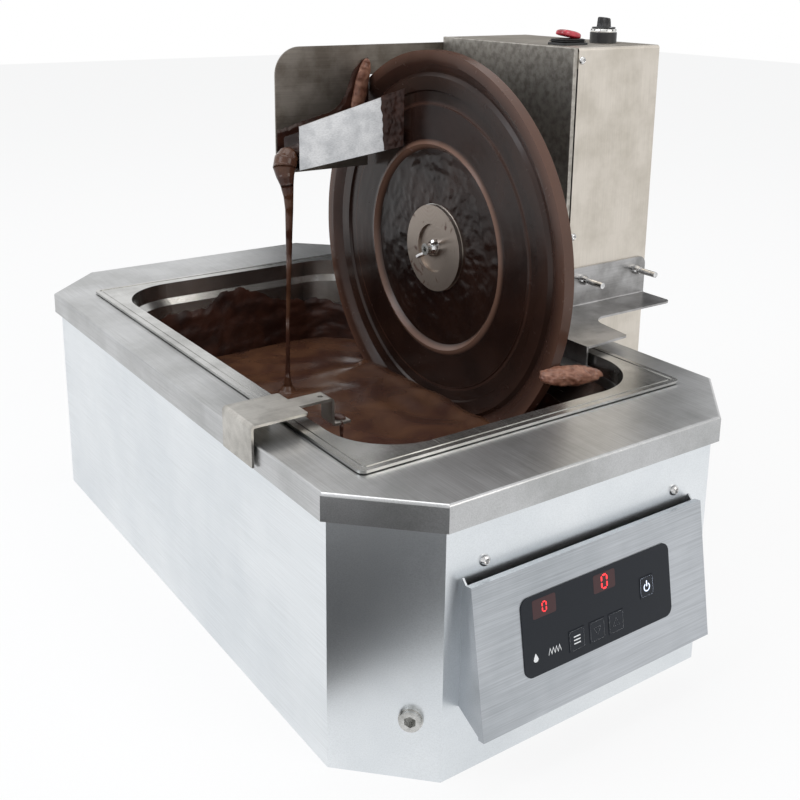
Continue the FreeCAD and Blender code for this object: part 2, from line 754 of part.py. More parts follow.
def gearbox_outline(inset):
    side = gear_radius + gear_margin - inset
    low = wheel_z - gear_radius - gear_margin + inset
    high = motor_z + motor_radius + 4 - inset
    corner = gearbox_corner - inset * (2 - math.sqrt(2))
    return [(wheel_y - side + corner, low, 0), (wheel_y + side - corner, low, 0),
            (wheel_y + side, low + corner, 0),
            (wheel_y + side, high - corner, 0), (wheel_y + side - corner, high,
                                                 0), (wheel_y - side + corner, high, 0),
            (wheel_y - side, high - corner, 0), (wheel_y - side, low + corner, 0)]


def gearbox_screw_places():
    side = gear_radius + 3
    return [(wheel_y + dy, z) for dy in (-side, side)
            for z in (wheel_z - 38, motor_z + motor_radius - 10)]


def gearbox_housing():
    outer = prism(gearbox_outline(0), on_side(box_front), V(gearbox_depth, 0, 0))
    hollow = prism(gearbox_outline(gearbox_wall), on_side(box_front + gearbox_wall), V(gearbox_depth, 0, 0))
    boss = rod_x(tower_x - 2, box_front + 11, wheel_y, wheel_z, bush_radius + 3)
    shell = fuse([outer.cut(hollow), boss])
    return shell.cut(rod_x(tower_x - 5, box_front + 20, wheel_y, wheel_z, bush_radius + bore_gap))


def gearbox_lid():
    lid = prism(gearbox_outline(0), on_side(lid_front), V(gearbox_wall, 0, 0))
    boss = rod_x(lid_front + 1, shaft_end + 2, wheel_y, wheel_z, bush_radius + 4)
    lid = fuse([lid, boss])
    holes = [rod_x(lid_front - 1, shaft_end, wheel_y, wheel_z, bush_radius + bore_gap),
             rod_x(lid_front - 1, lid_back + 1, wheel_y, motor_z, 11 + bore_gap)]
    return cut(lid, holes)


def shaft_bushes():
    bushes = []
    for x0, x1 in ((tower_x - 2, box_front + 11), (lid_front, shaft_end)):
        bush = rod_x(x0, x1, wheel_y, wheel_z, bush_radius)
        bushes.append(bush.cut(rod_x(x0 - 1, x1 + 1, wheel_y, wheel_z, shaft_radius + running_fit)))
    return group(bushes)


def gear_motor():
    """Permanent-magnet motor with its reduction head, closed, flanged to the lid."""
    r = motor_radius
    profile = [
        (-gearbox_wall, pinion_bore + running_fit), (-gearbox_wall, 11), (0, 11), (0, r),
        (motor_length, r), (motor_length, 0), (12.5, 0), (12.5, pinion_bore + running_fit),
    ]
    return turned(profile, V(lid_back, wheel_y, motor_z), "x")


def gearbox_screws():
    return group([hexagon(V(tower_x, y, z), V(-1, 0, 0), 8, 3) for y, z in gearbox_screw_places()])


# ---- tower casing -----------------------------------------------------------
cover_x = tower_x + strip + strip_gap
cover_screw_x = cover_x + 4.5
rocker_x = tower_end - 87.0
rocker_y = tower_y + 42.0
knob_x = tower_end - 30.0
knob_y = tower_y + 50.0
bracket_z = deck_z + bracket_height
bracket_top = bracket_z + bracket_plate
bracket_screw_z = bracket_top - 13.0
tab_heights = (tower_top - 12, bracket_top + tab_clear, tower_z + 25)
bracket_left = tower_x + 6.5
bracket_right = tower_end - 1.0
bracket_screw_x = (bracket_left + 20, bracket_right - 14)
plate_left = wheel_x - 113.0
plate_right = tower_x + 29.5
plate_low = wheel_z + 69.4
plate_high = tower_top - 6.0
plate_screw_z = (plate_low + 25, plate_high - 25)
plate_screw_x = tower_x + 18


def tower_cover():
    """Box cover: one folded sheet for front, top and back, with the right side welded in."""
    wrap = folded([(tower_rear, tower_z), (tower_rear, tower_top), (tower_y, tower_top), (tower_y, tower_z)],
                  sheet, on_side(cover_x), V(tower_end - cover_x, 0, 0))
    side = [(tower_y, tower_z, 0), (tower_rear, tower_z, 0), (tower_rear, tower_top, bend + sheet),
            (tower_y, tower_top, bend + sheet)]
    side = prism(side, on_side(tower_end - sheet), V(sheet, 0, 0))
    holes = [rod_y(x, tower_y - 2, tower_y + 3, bracket_screw_z, 3 + bore_gap) for x in bracket_screw_x]
    holes.append(prism(centred(13, 9.5, 0, rocker_x, rocker_y), on_level(tower_top - 3), V(0, 0, 6)))
    holes.append(rod_z(knob_x, knob_y, tower_top - 3, tower_top + 3, 4.5 + bore_gap))
    return cut(fuse([wrap, side]), holes)


def tower_left_panel():
    """Tray whose edge strip shows beside the cover; it carries the gearbox."""
    tray = box(tower_x, tower_x + strip, tower_y, tower_rear, tower_z, tower_top)
    face_edges = [e for e in tray.Edges if abs(e.CenterOfMass.x - tower_x) < 1e-4]
    rounded = [e for e in face_edges if abs(e.CenterOfMass.z - tower_z) > 1]
    tray = tray.makeFillet(1.0, rounded)
    hollow = box(tower_x + sheet, tower_x + strip + 1, tower_y + sheet, tower_rear - sheet,
                 tower_z + sheet, tower_top - sheet)
    tray = tray.cut(hollow)
    tabs = []
    for z in tab_heights:
        for wall, way in ((tower_y, 1), (tower_rear, -1)):
            near = wall + way * (sheet - 0.5)
            seat = wall + way * (sheet + bore_gap)
            far = wall + way * (2 * sheet + bore_gap)
            tabs.append(box(tower_x + 1, tower_x + strip, min(near, far), max(near, far), z - 8, z + 8))
            tabs.append(box(tower_x + 1, cover_screw_x + 7, min(seat, far), max(seat, far), z - 8, z + 8))
    panel = fuse([tray] + tabs)
    return panel.cut(rod_x(tower_x - 2, tower_x + 3, wheel_y, wheel_z, bush_radius + 3 + bore_gap))


def tower_floor_plate():
    x0 = tower_x + strip + bore_gap
    floor = box(x0, tower_end - sheet - bore_gap, tower_y + sheet + bore_gap, tower_rear - sheet - bore_gap,
                tower_z, tower_z + sheet)
    apron = box(tower_x + sheet, tower_x + 2 * sheet, tower_y + 10, tower_rear - 10, tower_z + sheet,
                tower_z + 16)
    ledge = box(tower_x + sheet, x0 + 3, tower_y + 10, tower_rear - 10, tower_z + sheet, tower_z + 2 * sheet)
    plate_shape = fuse([floor, ledge, apron])
    gland_hole = rod_z(tower_x + 75, tower_rear - 50, tower_z - 1, tower_z + 5, 8 + bore_gap)
    return plate_shape.cut(gland_hole)


def cable_gland():
    """Closed gland in the tower's floor for the motor's supply lead."""
    x = tower_x + 75
    y = tower_rear - 50
    return fuse([hexagon(V(x, y, tower_z), V(0, 0, -1), 19, 10),
                 rod_z(x, y, tower_z - 1, tower_z + sheet, 8)])


def tower_screws():
    front = [hexagon(V(cover_screw_x, tower_y, z), V(0, -1, 0), 7, 2.6) for z in tab_heights]
    back = [hexagon(V(cover_screw_x, tower_rear, z), V(0, 1, 0), 7, 2.6) for z in tab_heights[1:]]
    return group(front + back)


def tower_hook():
    """Folded plate that hangs the tower on the deck, relieved where the shaft's boss would reach it."""
    hook = folded([(tower_x - 31.5, deck_z), (tower_x, deck_z), (tower_x, deck_z + 20)],
                  plate, on_front(wheel_y - 70), V(0, 160, 0))
    return hook.cut(rod_x(tower_x - plate - 1, tower_x + 1, wheel_y, wheel_z, bush_radius + 3 + loose_fit))


def hook_screws():
    row = (wheel_y - 55, wheel_y + 75)
    screws = [hexagon(V(tower_x - 20, y, deck_z + plate), V(0, 0, 1), 8, 3) for y in row]
    screws += [hexagon(V(tower_x - plate, y, deck_z + 12), V(-1, 0, 0), 8, 3) for y in row]
    return group(screws)


def tower_buffers():
    """Rubber buffers that hold the hanging tower off the body's side."""
    return group([box(body_x, tower_x, y - 10, y + 10, deck_z - 55, deck_z - 35) for y in (wheel_y - 50,
                                                                                           wheel_y + 70)])


def speed_board():
    """Control board, halfway between the gearbox and the tower's back wall."""
    y0 = (wheel_y + gear_radius + gear_margin + tower_rear - sheet - board_width) / 2
    board = box(box_front + 6, box_front + 7.6, y0, y0 + board_width, tower_z + 20, tower_z + 95)
    heat_sink = box(box_front + 7.6, box_front + 25, y0 + 6, y0 + 26, tower_z + 30, tower_z + 60)
    posts = [box(box_front, box_front + 6, y0 + dy, y0 + dy + 5, tower_z + dz, tower_z + dz + 5)
             for dy in (2, 33) for dz in (22, 88)]
    return fuse([board, heat_sink] + posts)


# ---- switch and speed knob on the tower -------------------------------------
rocker_pivot_z = tower_top + 7.0
rocker_rest = 10.0       # degrees, left end up
dial_radius = 13.7
dial_height = 11.0


def rocker_boot():
    """Sealed switch frame with a ribbed rubber skirt and a seat for the rocker."""
    base = prism(centred(17, 13, 3, rocker_x, rocker_y), on_level(tower_top), V(0, 0, 2.4))
    skirt = [base]
    z = tower_top + 2.4
    for grow, height in ((-2.4, 0.8), (-1.0, 1.1), (-2.0, 1.7)):
        skirt.append(prism(centred(16 + grow, 12 + grow, 0, rocker_x, rocker_y), on_level(z),
                           V(0, 0, height)))
        z += height
    seat = rod_y(rocker_x, rocker_y - 9, rocker_y + 9, rocker_pivot_z, 3.5 + loose_fit)
    return fuse(skirt).cut(seat)


def rocker_switch():
    """Body of the switch below the cover's top."""
    body = prism(centred(13 - bore_gap, 9.5 - bore_gap, 0, rocker_x, rocker_y),
                 on_level(tower_top - 26), V(0, 0, 26))
    tags = [box(rocker_x + dx - 0.4, rocker_x + dx + 0.4, rocker_y - 3, rocker_y + 3, tower_top - 36,
                tower_top - 26)
            for dx in (-7, 0, 7)]
    return fuse([body] + tags)


def power_rocker():
    """Rocker cap with a domed back, pivoting on a round rib in the boot."""
    low = rocker_pivot_z + 1.9
    side = [(rocker_x - 13.5, low, 0), (rocker_x + 13.5, low, 0), (rocker_x + 13.5, low + 3.4, 1.2),
            (rocker_x, low + 6.0, 30), (rocker_x - 13.5, low + 3.4, 1.2)]
    cap = prism(side, on_front(rocker_y - 9), V(0, 18, 0))
    rib = rod_y(rocker_x, rocker_y - 8.5, rocker_y + 8.5, rocker_pivot_z, 3.5)
    cap = fuse([cap, rib])
    cap.rotate(V(rocker_x, rocker_y, rocker_pivot_z), V(0, 1, 0), rocker_rest)
    return cap


def dial_base():
    """Black base with the silver dial ring on it."""
    bore = 4.5 + bore_gap
    top = dial_height + 3.4
    return turned([(0, bore), (0, dial_radius), (dial_height, dial_radius), (dial_height, dial_radius - 1.5),
                   (top, dial_radius - 1.5), (top, bore)], V(knob_x, knob_y, tower_top), "z")


def speed_knob():
    """Skirted knob with twelve flat facets for the fingers, on the potentiometer's shaft."""
    z = tower_top + dial_height + 3.4 + loose_fit
    skirt = rod_z(knob_x, knob_y, z, z + 1.1, 12)
    low = []
    high = []
    for i in range(12):
        angle = math.radians(30 * i)
        low.append(V(knob_x + 7.2 * math.cos(angle), knob_y + 7.2 * math.sin(angle), z + 1.1))
        high.append(V(knob_x + 6.2 * math.cos(angle), knob_y + 6.2 * math.sin(angle), z + 11.4))
    grip = Part.makeLoft([Part.makePolygon(low + low[:1]), Part.makePolygon(high + high[:1])], True, True)
    shaft = rod_z(knob_x, knob_y, tower_top - 9, z + 1, 3)
    return fuse([skirt, grip, shaft])


def potentiometer():
    can = box(knob_x - 8, knob_x + 8, knob_y - 8, knob_y + 8, tower_top - 17, tower_top - sheet - 1)
    bush = rod_z(knob_x, knob_y, tower_top - sheet - 2, tower_top + dial_height + 2, 4.5)
    bore = rod_z(knob_x, knob_y, tower_top - 9.5, tower_top + dial_height + 3, 3 + running_fit)
    return fuse([can, bush]).cut(bore)


# ---- scraper and chute ------------------------------------------------------
def scraper_plate():
    slot_left = wheel_x - scraper_gap
    slot_right = wheel_back + scraper_gap + 0.5
    reach = math.sqrt(wheel_radius ** 2 - tower_back ** 2)
    slot_top = wheel_z + reach + 4
    corners = [(plate_left, plate_low, 8), (slot_left, plate_low, 0), (slot_left, slot_top, 0),
               (slot_right, slot_top, 0), (slot_right, plate_low, 0), (plate_right, plate_low, 0),
               (plate_right, plate_high, 0), (plate_left, plate_high, 28)]
    return prism(corners, on_front(tower_rear), V(0, plate, 0))


def plate_screws():
    return group([hexagon(V(plate_screw_x, tower_rear + plate, z), V(0, 1, 0), 8, 3) for z in plate_screw_z])


chute_x = wheel_x - scraper_gap
chute_mouth_z = wheel_z + 98.4
chute_lip_z = chute_mouth_z - chute_fall


def chute_floor_z(x):
    return chute_lip_z + (x - chute_x + chute_length) * chute_fall / chute_length


def chute_screw_places():
    return [(chute_x - along, chute_floor_z(chute_x - along) + 18) for along in (22, 78)]


def chute():
    """Sloping trough that leads the scraped chocolate off the wheel: floor, front wall, back flange."""
    left = chute_x - chute_length
    back = tower_rear
    mouth_front = back - chute_mouth_width
    lip_front = back - chute_lip_width
    floor = [V(left, lip_front, chute_lip_z), V(chute_x, mouth_front, chute_mouth_z),
             V(chute_x, back, chute_mouth_z), V(left, back, chute_lip_z)]
    floor = Part.Face(Part.makePolygon(floor + floor[:1])).extrude(V(0, 0, plate))
    wall_left = V(left, lip_front, chute_lip_z)
    wall_right = V(chute_x, mouth_front, chute_mouth_z)
    wall = [wall_left, wall_right, wall_right + V(0, 0, chute_wall_mouth),
            wall_left + V(0, 0, chute_wall_lip)]
    along = (V(wall_right.x, wall_right.y, 0) - V(wall_left.x, wall_left.y, 0)).normalize()
    wall = Part.Face(Part.makePolygon(wall + wall[:1])).extrude(V(-along.y, along.x, 0) * plate)
    trim = box(left - 10, chute_x, back - 200, back, chute_lip_z - 10, plate_high + 100)
    flange = [(left, chute_lip_z, 0), (chute_x, chute_mouth_z, 0), (chute_x, chute_mouth_z + 30, 3),
              (left, chute_lip_z + 30, 3)]
    flange = prism(flange, on_front(back - plate), V(0, plate, 0))
    return fuse([floor, wall.common(trim), flange])


def chute_screws():
    return group([hexagon(V(x, tower_rear + plate, z), V(0, 1, 0), 7, 2.4) for x, z in chute_screw_places()])


# ---- bracket at the wheel's front -------------------------------------------
web_x = pan_x + mouth_half_x - 6.5
rim_at_foot = wheel_y - math.sqrt(wheel_radius ** 2 - (wheel_z - rim_z + 10) ** 2)
foot_z = rim_z - 12
finger_back = rim_at_foot - 4.5
finger_front = finger_back - 32


def support_bracket():
    """Plate on the tower, arm over the pan's rim, web down into the pan and a finger at the wheel's rim."""
    front = finger_back - 6
    bent = folded([(front, bracket_z), (tower_y, bracket_z), (tower_y, bracket_top)],
                  plate, on_side(web_x), V(bracket_right - web_x, 0, 0))
    plan = [(bracket_right, tower_y + 1, 0), (bracket_right, tower_y - 41, 7),
            (tower_x + 2, tower_y - 41, 20),
            (tower_x - 5, front + 4, 4), (web_x, front, 3), (web_x, tower_y + 1, 0)]
    plan = prism(plan, on_level(bracket_z - 1), V(0, 0, 60))
    face = [(bracket_left, bracket_z + 4.5, 0), (bracket_right, bracket_z + 4.5, 0),
            (bracket_right, bracket_top, 9),
            (bracket_left, bracket_top, 9)]
    face = prism(face, on_front(front - 10), V(0, 300, 0))
    strip_low = box(web_x - 1, bracket_right + 1, front - 10, tower_y + 1, bracket_z - 1, bracket_z + 4.5)
    upper = bent.common(plan).common(face.fuse(strip_low))
    web_back_y = front + 54
    web = box(web_x, web_x + plate, front + 1, web_back_y, foot_z, bracket_z + plate)
    foot = [(web_x + plate, web_back_y, 2), (web_x + plate, front, 3), (web_x - 5, finger_front + 4, 8),
            (wheel_x - 11, finger_front, 9), (wheel_x - 11, finger_back, 4),
            (wheel_back + 6.5, finger_back, 3), (wheel_back + 6.5, web_back_y, 2)]
    foot = prism(foot, on_level(foot_z), V(0, 0, plate))
    shape = fuse([upper, web, foot])
    holes = [rod_y(x, tower_y - 5, tower_y + 2, bracket_screw_z, 3 + bore_gap) for x in bracket_screw_x]
    return cut(shape, holes)


def bracket_studs():
    studs = []
    for x in bracket_screw_x:
        stud = rod_y(x, tower_y - 30, tower_y + sheet, bracket_screw_z, 3)
        head = hexagon(V(x, tower_y + sheet, bracket_screw_z), V(0, 1, 0), 10, 2.5)
        studs.append(fuse([stud, head]))
    return group(studs)


def bracket_nut(index):
    nut = wing_nut(5.4, 7.0, 13.0, 3.2, 9.0, 3 + running_fit)
    nut.rotate(V(0, 0, 0), V(1, 0, 0), 90)
    nut.rotate(V(0, 0, 0), V(0, 1, 0), 10 if index else 14)
    nut.translate(V(bracket_screw_x[index], tower_y - plate, bracket_screw_z))
    return nut


# ---- probe clip on the left edge --------------------------------------------
clip_z = deck_z + clip_height
clip_front = clip_from_front - deck_depth / 2
clip_back = clip_front + clip_width
clip_drop_x = pan_x - mouth_half_x + 21.5


def probe_clip():
    """Folded clip: skirt outside the deck's lip, tongue over the rim, foot with a slot in the pan."""
    skirt_x = -deck_width / 2 - 1.5
    inner_edge = -deck_width / 2 + 45
    tongue_front = clip_front + 15
    tongue_back = tongue_front + 17
    bent = folded([(skirt_x - plate, clip_z - 33), (skirt_x - plate, clip_z), (clip_drop_x + plate, clip_z),
                   (clip_drop_x + plate, clip_z - 22), (clip_drop_x + 17, clip_z - 22)][::-1],
                  plate, on_front(clip_front), V(0, clip_width, 0))
    tongue = box(inner_edge - 1, clip_drop_x + 30, tongue_front, tongue_back, clip_z - 40, clip_z + 1)
    top = [(skirt_x - plate - 1, clip_front, 0), (inner_edge, clip_front, 2), (inner_edge, clip_back, 2),
           (skirt_x - plate - 1, clip_back, 0)]
    top = prism(top, on_level(clip_z - 60), V(0, 0, 70))
    body = bent.common(tongue.fuse(top))
    rest = box(skirt_x - 0.5, pan_x - pan_width / 2 - 2.5, clip_back - plate, clip_back,
               deck_z + loose_fit, clip_z - plate / 2)
    body = fuse([body, rest])
    middle = (tongue_front + tongue_back) / 2
    slot = prism(centred(3.5, 2.2, 2.1, clip_drop_x + 10, middle), on_level(clip_z - 30), V(0, 0, 15))
    holes = [rod_z(clip_drop_x - 6, middle, clip_z - 5, clip_z + 5, 2.2), slot]
    return cut(body, holes)


# ---- export -----------------------------------------------------------------
parts = {
    "deck_cover": deck_cover(),
    "body_shell": body_shell(),
    "base_plate": base_plate(),
    "water_tank": water_bath(),
    "heating_element": heating_element(),
    "water_level_sensor": water_level_sensor(),
    "water_temperature_sensor": water_thermometer(),
    "drain_pipe": drain_pipe(),
    "drain_plug": drain_plug(),
    "gn_pan": food_pan(),
    "pan_seal": pan_seal(),
    "power_inlet": power_inlet(),
    "probe_socket": probe_socket(),
    "control_box_shell": control_box_shell(),
    "control_box_gasket": box_gasket(),
    "control_front_plate": control_front_plate(),
    "membrane_overlay": membrane_overlay(),
    "led_displays": led_displays(),
    "controller_board": circuit_board(),
    "panel_screws": dome_screws(),
    "tempering_wheel": tempering_wheel(),
    "wheel_hub": wheel_hub(),
    "hub_washer": hub_washer(),
    "wheel_wing_nut": wheel_nut(),
    "drive_shaft": drive_shaft(),
    "output_gear": output_gear(),
    "gear_key": gear_key(),
    "motor_pinion": motor_pinion(),
    "motor_shaft": motor_shaft(),
    "gear_motor": gear_motor(),
    "gearbox_housing": gearbox_housing(),
    "gearbox_lid": gearbox_lid(),
    "shaft_bushes": shaft_bushes(),
    "tower_left_panel": tower_left_panel(),
    "tower_cover": tower_cover(),
    "tower_floor_plate": tower_floor_plate(),
    "cover_screws": group([tower_screws(), chute_screws()]),
    "tower_cable_gland": cable_gland(),
    "tower_hook": tower_hook(),
    "frame_screws": group([gearbox_screws(), hook_screws(), plate_screws()]),
    "tower_buffers": tower_buffers(),
    "speed_control_board": speed_board(),
    "rocker_boot": rocker_boot(),
    "rocker_switch_body": rocker_switch(),
    "power_rocker": power_rocker(),
    "dial_base": dial_base(),
    "potentiometer": potentiometer(),
    "speed_knob": speed_knob(),
    "scraper_plate": scraper_plate(),
    "chute": chute(),
    "support_bracket": support_bracket(),
    "bracket_studs": bracket_studs(),
    "probe_clip": probe_clip(),
}
for index, name in enumerate(("wing_nut_left", "wing_nut_right")):
    parts[name] = bracket_nut(index)
for name in keys:
    parts[name] = key_pad(name)

if __name__ == "__main__":
    os.makedirs("parts", exist_ok=True)
    for name, shape in parts.items():
        shape.exportStep("parts/" + name + ".step")
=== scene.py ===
import math

import bmesh
import bpy
from mathutils import Matrix, Vector, noise


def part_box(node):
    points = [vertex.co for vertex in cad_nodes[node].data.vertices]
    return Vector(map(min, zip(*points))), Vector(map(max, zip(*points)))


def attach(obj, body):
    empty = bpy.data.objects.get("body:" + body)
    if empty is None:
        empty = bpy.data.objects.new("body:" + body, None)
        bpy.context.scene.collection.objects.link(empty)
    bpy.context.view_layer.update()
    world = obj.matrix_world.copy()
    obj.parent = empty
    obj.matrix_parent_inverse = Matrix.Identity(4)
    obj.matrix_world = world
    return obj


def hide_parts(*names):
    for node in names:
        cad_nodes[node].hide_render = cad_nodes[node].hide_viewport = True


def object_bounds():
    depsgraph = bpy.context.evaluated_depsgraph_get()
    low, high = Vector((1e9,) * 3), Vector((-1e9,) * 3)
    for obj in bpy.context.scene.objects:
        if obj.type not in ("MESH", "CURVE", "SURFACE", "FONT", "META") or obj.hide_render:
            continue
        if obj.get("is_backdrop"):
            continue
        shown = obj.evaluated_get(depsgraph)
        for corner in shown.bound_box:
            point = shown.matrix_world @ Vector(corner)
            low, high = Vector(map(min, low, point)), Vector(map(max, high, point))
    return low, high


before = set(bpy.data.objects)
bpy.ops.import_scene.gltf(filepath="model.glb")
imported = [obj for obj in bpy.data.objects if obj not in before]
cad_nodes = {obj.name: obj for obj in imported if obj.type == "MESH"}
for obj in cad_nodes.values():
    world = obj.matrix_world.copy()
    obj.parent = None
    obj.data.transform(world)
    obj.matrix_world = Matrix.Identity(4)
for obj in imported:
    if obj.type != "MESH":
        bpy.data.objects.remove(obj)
cad_low, cad_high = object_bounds()
MM = 0.001


# ---- Studio -----------------------------------------------------------------
# The camera stands to the front left, a little above the deck. Three soft boxes and an
# even grey room light the machine on a pale floor. One dark card lies on the floor at the
# front left and another stands behind: steel shows mostly what surrounds it, and without
# the cards it would have no dark tones.
def srgb(code, alpha=1.0):
    """A hex colour as the linear numbers that shaders and lamps take."""
    parts = [int(code[i : i + 2], 16) / 255 for i in (1, 3, 5)]
    linear = [c / 12.92 if c <= 0.04045 else ((c + 0.055) / 1.055) ** 2.4 for c in parts]
    return (*linear, alpha)


def add(tree, kind, inputs=None, stops=None, **settings):
    """One shader node: settings are its properties, inputs its sockets' values or what feeds them."""
    node = tree.nodes.new("ShaderNode" + kind)
    for key, value in settings.items():
        setattr(node, key, value)
    if stops:
        while len(node.color_ramp.elements) < len(stops):
            node.color_ramp.elements.new(0.5)
        for element, (position, code) in zip(node.color_ramp.elements, stops):
            element.position = position
            element.color = srgb(code)
    for key, value in (inputs or {}).items():
        if isinstance(value, bpy.types.NodeSocket):
            tree.links.new(value, node.inputs[key])
        else:
            node.inputs[key].default_value = value
    return node


def seen_by(tree, *kinds):
    """1 for rays of the named kinds, 0 for all the others."""
    rays = add(tree, "LightPath")
    seen = rays.outputs["Is " + kinds[0] + " Ray"]
    for kind in kinds[1:]:
        both = {0: seen, 1: rays.outputs["Is " + kind + " Ray"]}
        seen = add(tree, "Math", both, operation="MAXIMUM").outputs[0]
    return seen


def about_axis(tree, where):
    """Distance of a point from the wheel's axis."""
    about = add(tree, "Mapping", {"Vector": where.outputs["Object"], "Scale": (0, 1, 1),
                                  "Location": (0, -axis_y * MM, -axis_z * MM)})
    return add(tree, "VectorMath", {0: about.outputs[0]}, operation="LENGTH").outputs["Value"]


def of_kind(things, kind):
    """The vertices, edges or faces among what a mesh operation returned."""
    return [thing for thing in things if isinstance(thing, kind)]


def new_material(name):
    """An empty material and its node tree."""
    material = bpy.data.materials.new(name)
    material.use_nodes = True
    material.node_tree.nodes.clear()
    return material, material.node_tree


def new_object(name, mesh, material):
    """Links a mesh object at the origin, with one material."""
    piece = bpy.data.objects.new(name, mesh)
    bpy.context.scene.collection.objects.link(piece)
    if material:
        piece.data.materials.append(material)
    return piece


camera_place = Vector((-534.0, -851.6, 555.5)) * MM
camera_turn = math.radians(-34.94)
camera_dip = math.radians(14.71)
camera_roll = math.radians(0.70)
camera_data = bpy.data.cameras.new("camera")
camera_data.sensor_width = 36
camera_data.lens = 48.92
camera_data.shift_y = -0.175
camera = bpy.data.objects.new("camera", camera_data)
camera.matrix_world = (
    Matrix.Translation(camera_place)
    @ Matrix.Rotation(camera_turn, 4, "Z")
    @ Matrix.Rotation(math.pi / 2 - camera_dip, 4, "X")
    @ Matrix.Rotation(camera_roll, 4, "Z")
)
bpy.context.scene.collection.objects.link(camera)
bpy.context.scene.camera = camera
bpy.context.scene.view_settings.view_transform = "Standard"

world = bpy.data.worlds.new("room")
bpy.context.scene.world = world
world.use_nodes = True
room = world.node_tree
room.nodes.clear()
seen = seen_by(room, "Camera", "Glossy", "Transmission")
dim = add(room, "Background", {"Color": srgb("#e9edf2"), "Strength": 0.55})
bright = add(room, "Background", {"Color": srgb("#ffffff"), "Strength": 1.0})
mix = add(room, "MixShader", {0: seen, 1: dim.outputs[0], 2: bright.outputs[0]})
add(room, "OutputWorld", {"Surface": mix.outputs[0]})

floor_white, tree = new_material("painted_studio_floor")
glow_share = 0.86   # the rest of the floor's brightness is paint that takes shadows
seen = seen_by(tree, "Camera", "Glossy")
share = add(tree, "Math", {0: seen, 1: glow_share}, operation="MULTIPLY")
paint = add(tree, "BsdfDiffuse", {"Color": srgb("#f4f4f4")})
glow = add(tree, "Emission", {"Color": srgb("#ffffff"), "Strength": 1.0})
mix = add(tree, "MixShader", {0: share.outputs[0], 1: paint.outputs[0], 2: glow.outputs[0]})
add(tree, "OutputMaterial", {"Surface": mix.outputs[0]})

bm = bmesh.new()
bmesh.ops.create_grid(bm, x_segments=1, y_segments=1, size=6.0)
mesh = bpy.data.meshes.new("floor")
bm.to_mesh(mesh)
bm.free()
floor = new_object("floor", mesh, floor_white)
floor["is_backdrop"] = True


def soft_box(name, place, aim, size, watts, tint):
    """Square area lamp that faces a point."""
    lamp = bpy.data.lights.new(name, "AREA")
    lamp.shape = "SQUARE"
    lamp.size = size
    lamp.energy = watts
    lamp.color = srgb(tint)[:3]
    holder = bpy.data.objects.new(name, lamp)
    turn = (Vector(aim) - Vector(place)).to_track_quat("-Z", "Y").to_matrix().to_4x4()
    holder.matrix_world = Matrix.Translation(place) @ turn
    bpy.context.scene.collection.objects.link(holder)


soft_box("left_soft_box", (-2.2, 0.3, 1.9), (0, 0, 0.2), 1.6, 26, "#f4f8ff")
soft_box("front_soft_box", (0.9, -2.4, 1.7), (0, 0, 0.2), 1.5, 20, "#fffaf2")
soft_box("top_soft_box", (0.1, 0.4, 2.6), (0, 0, 0.2), 1.8, 22, "#ffffff")


def dark_card(name, place, aim, width, height):
    """Grey card that only reflections see, to give the bright steel its dark tones."""
    bm = bmesh.new()
    bmesh.ops.create_grid(bm, x_segments=1, y_segments=1, size=0.5)
    turn = (Vector(aim) - Vector(place)).to_track_quat("-Z", "Y").to_matrix().to_4x4()
    place_card = Matrix.Translation(place) @ turn @ Matrix.Diagonal((width, height, 1, 1))
    bmesh.ops.transform(bm, matrix=place_card, verts=bm.verts)
    card_mesh = bpy.data.meshes.new(name)
    bm.to_mesh(card_mesh)
    bm.free()
    card = new_object(name, card_mesh, card_paint)
    card.visible_camera = False
    card.visible_diffuse = False
    card.visible_shadow = False
    card.visible_transmission = False
    card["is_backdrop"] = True


card_paint, tree = new_material("matt_black_card")
paint = add(tree, "BsdfDiffuse", {"Color": srgb("#2a2a2c")})
add(tree, "OutputMaterial", {"Surface": paint.outputs[0]})
dark_card("card_left", (-0.47, -0.50, 0.004), (-0.47, -0.50, 1.0), 0.42, 0.42)
dark_card("card_back", (1.9, 2.1, 1.2), (0.0, -0.2, 0.2), 1.7, 1.5)


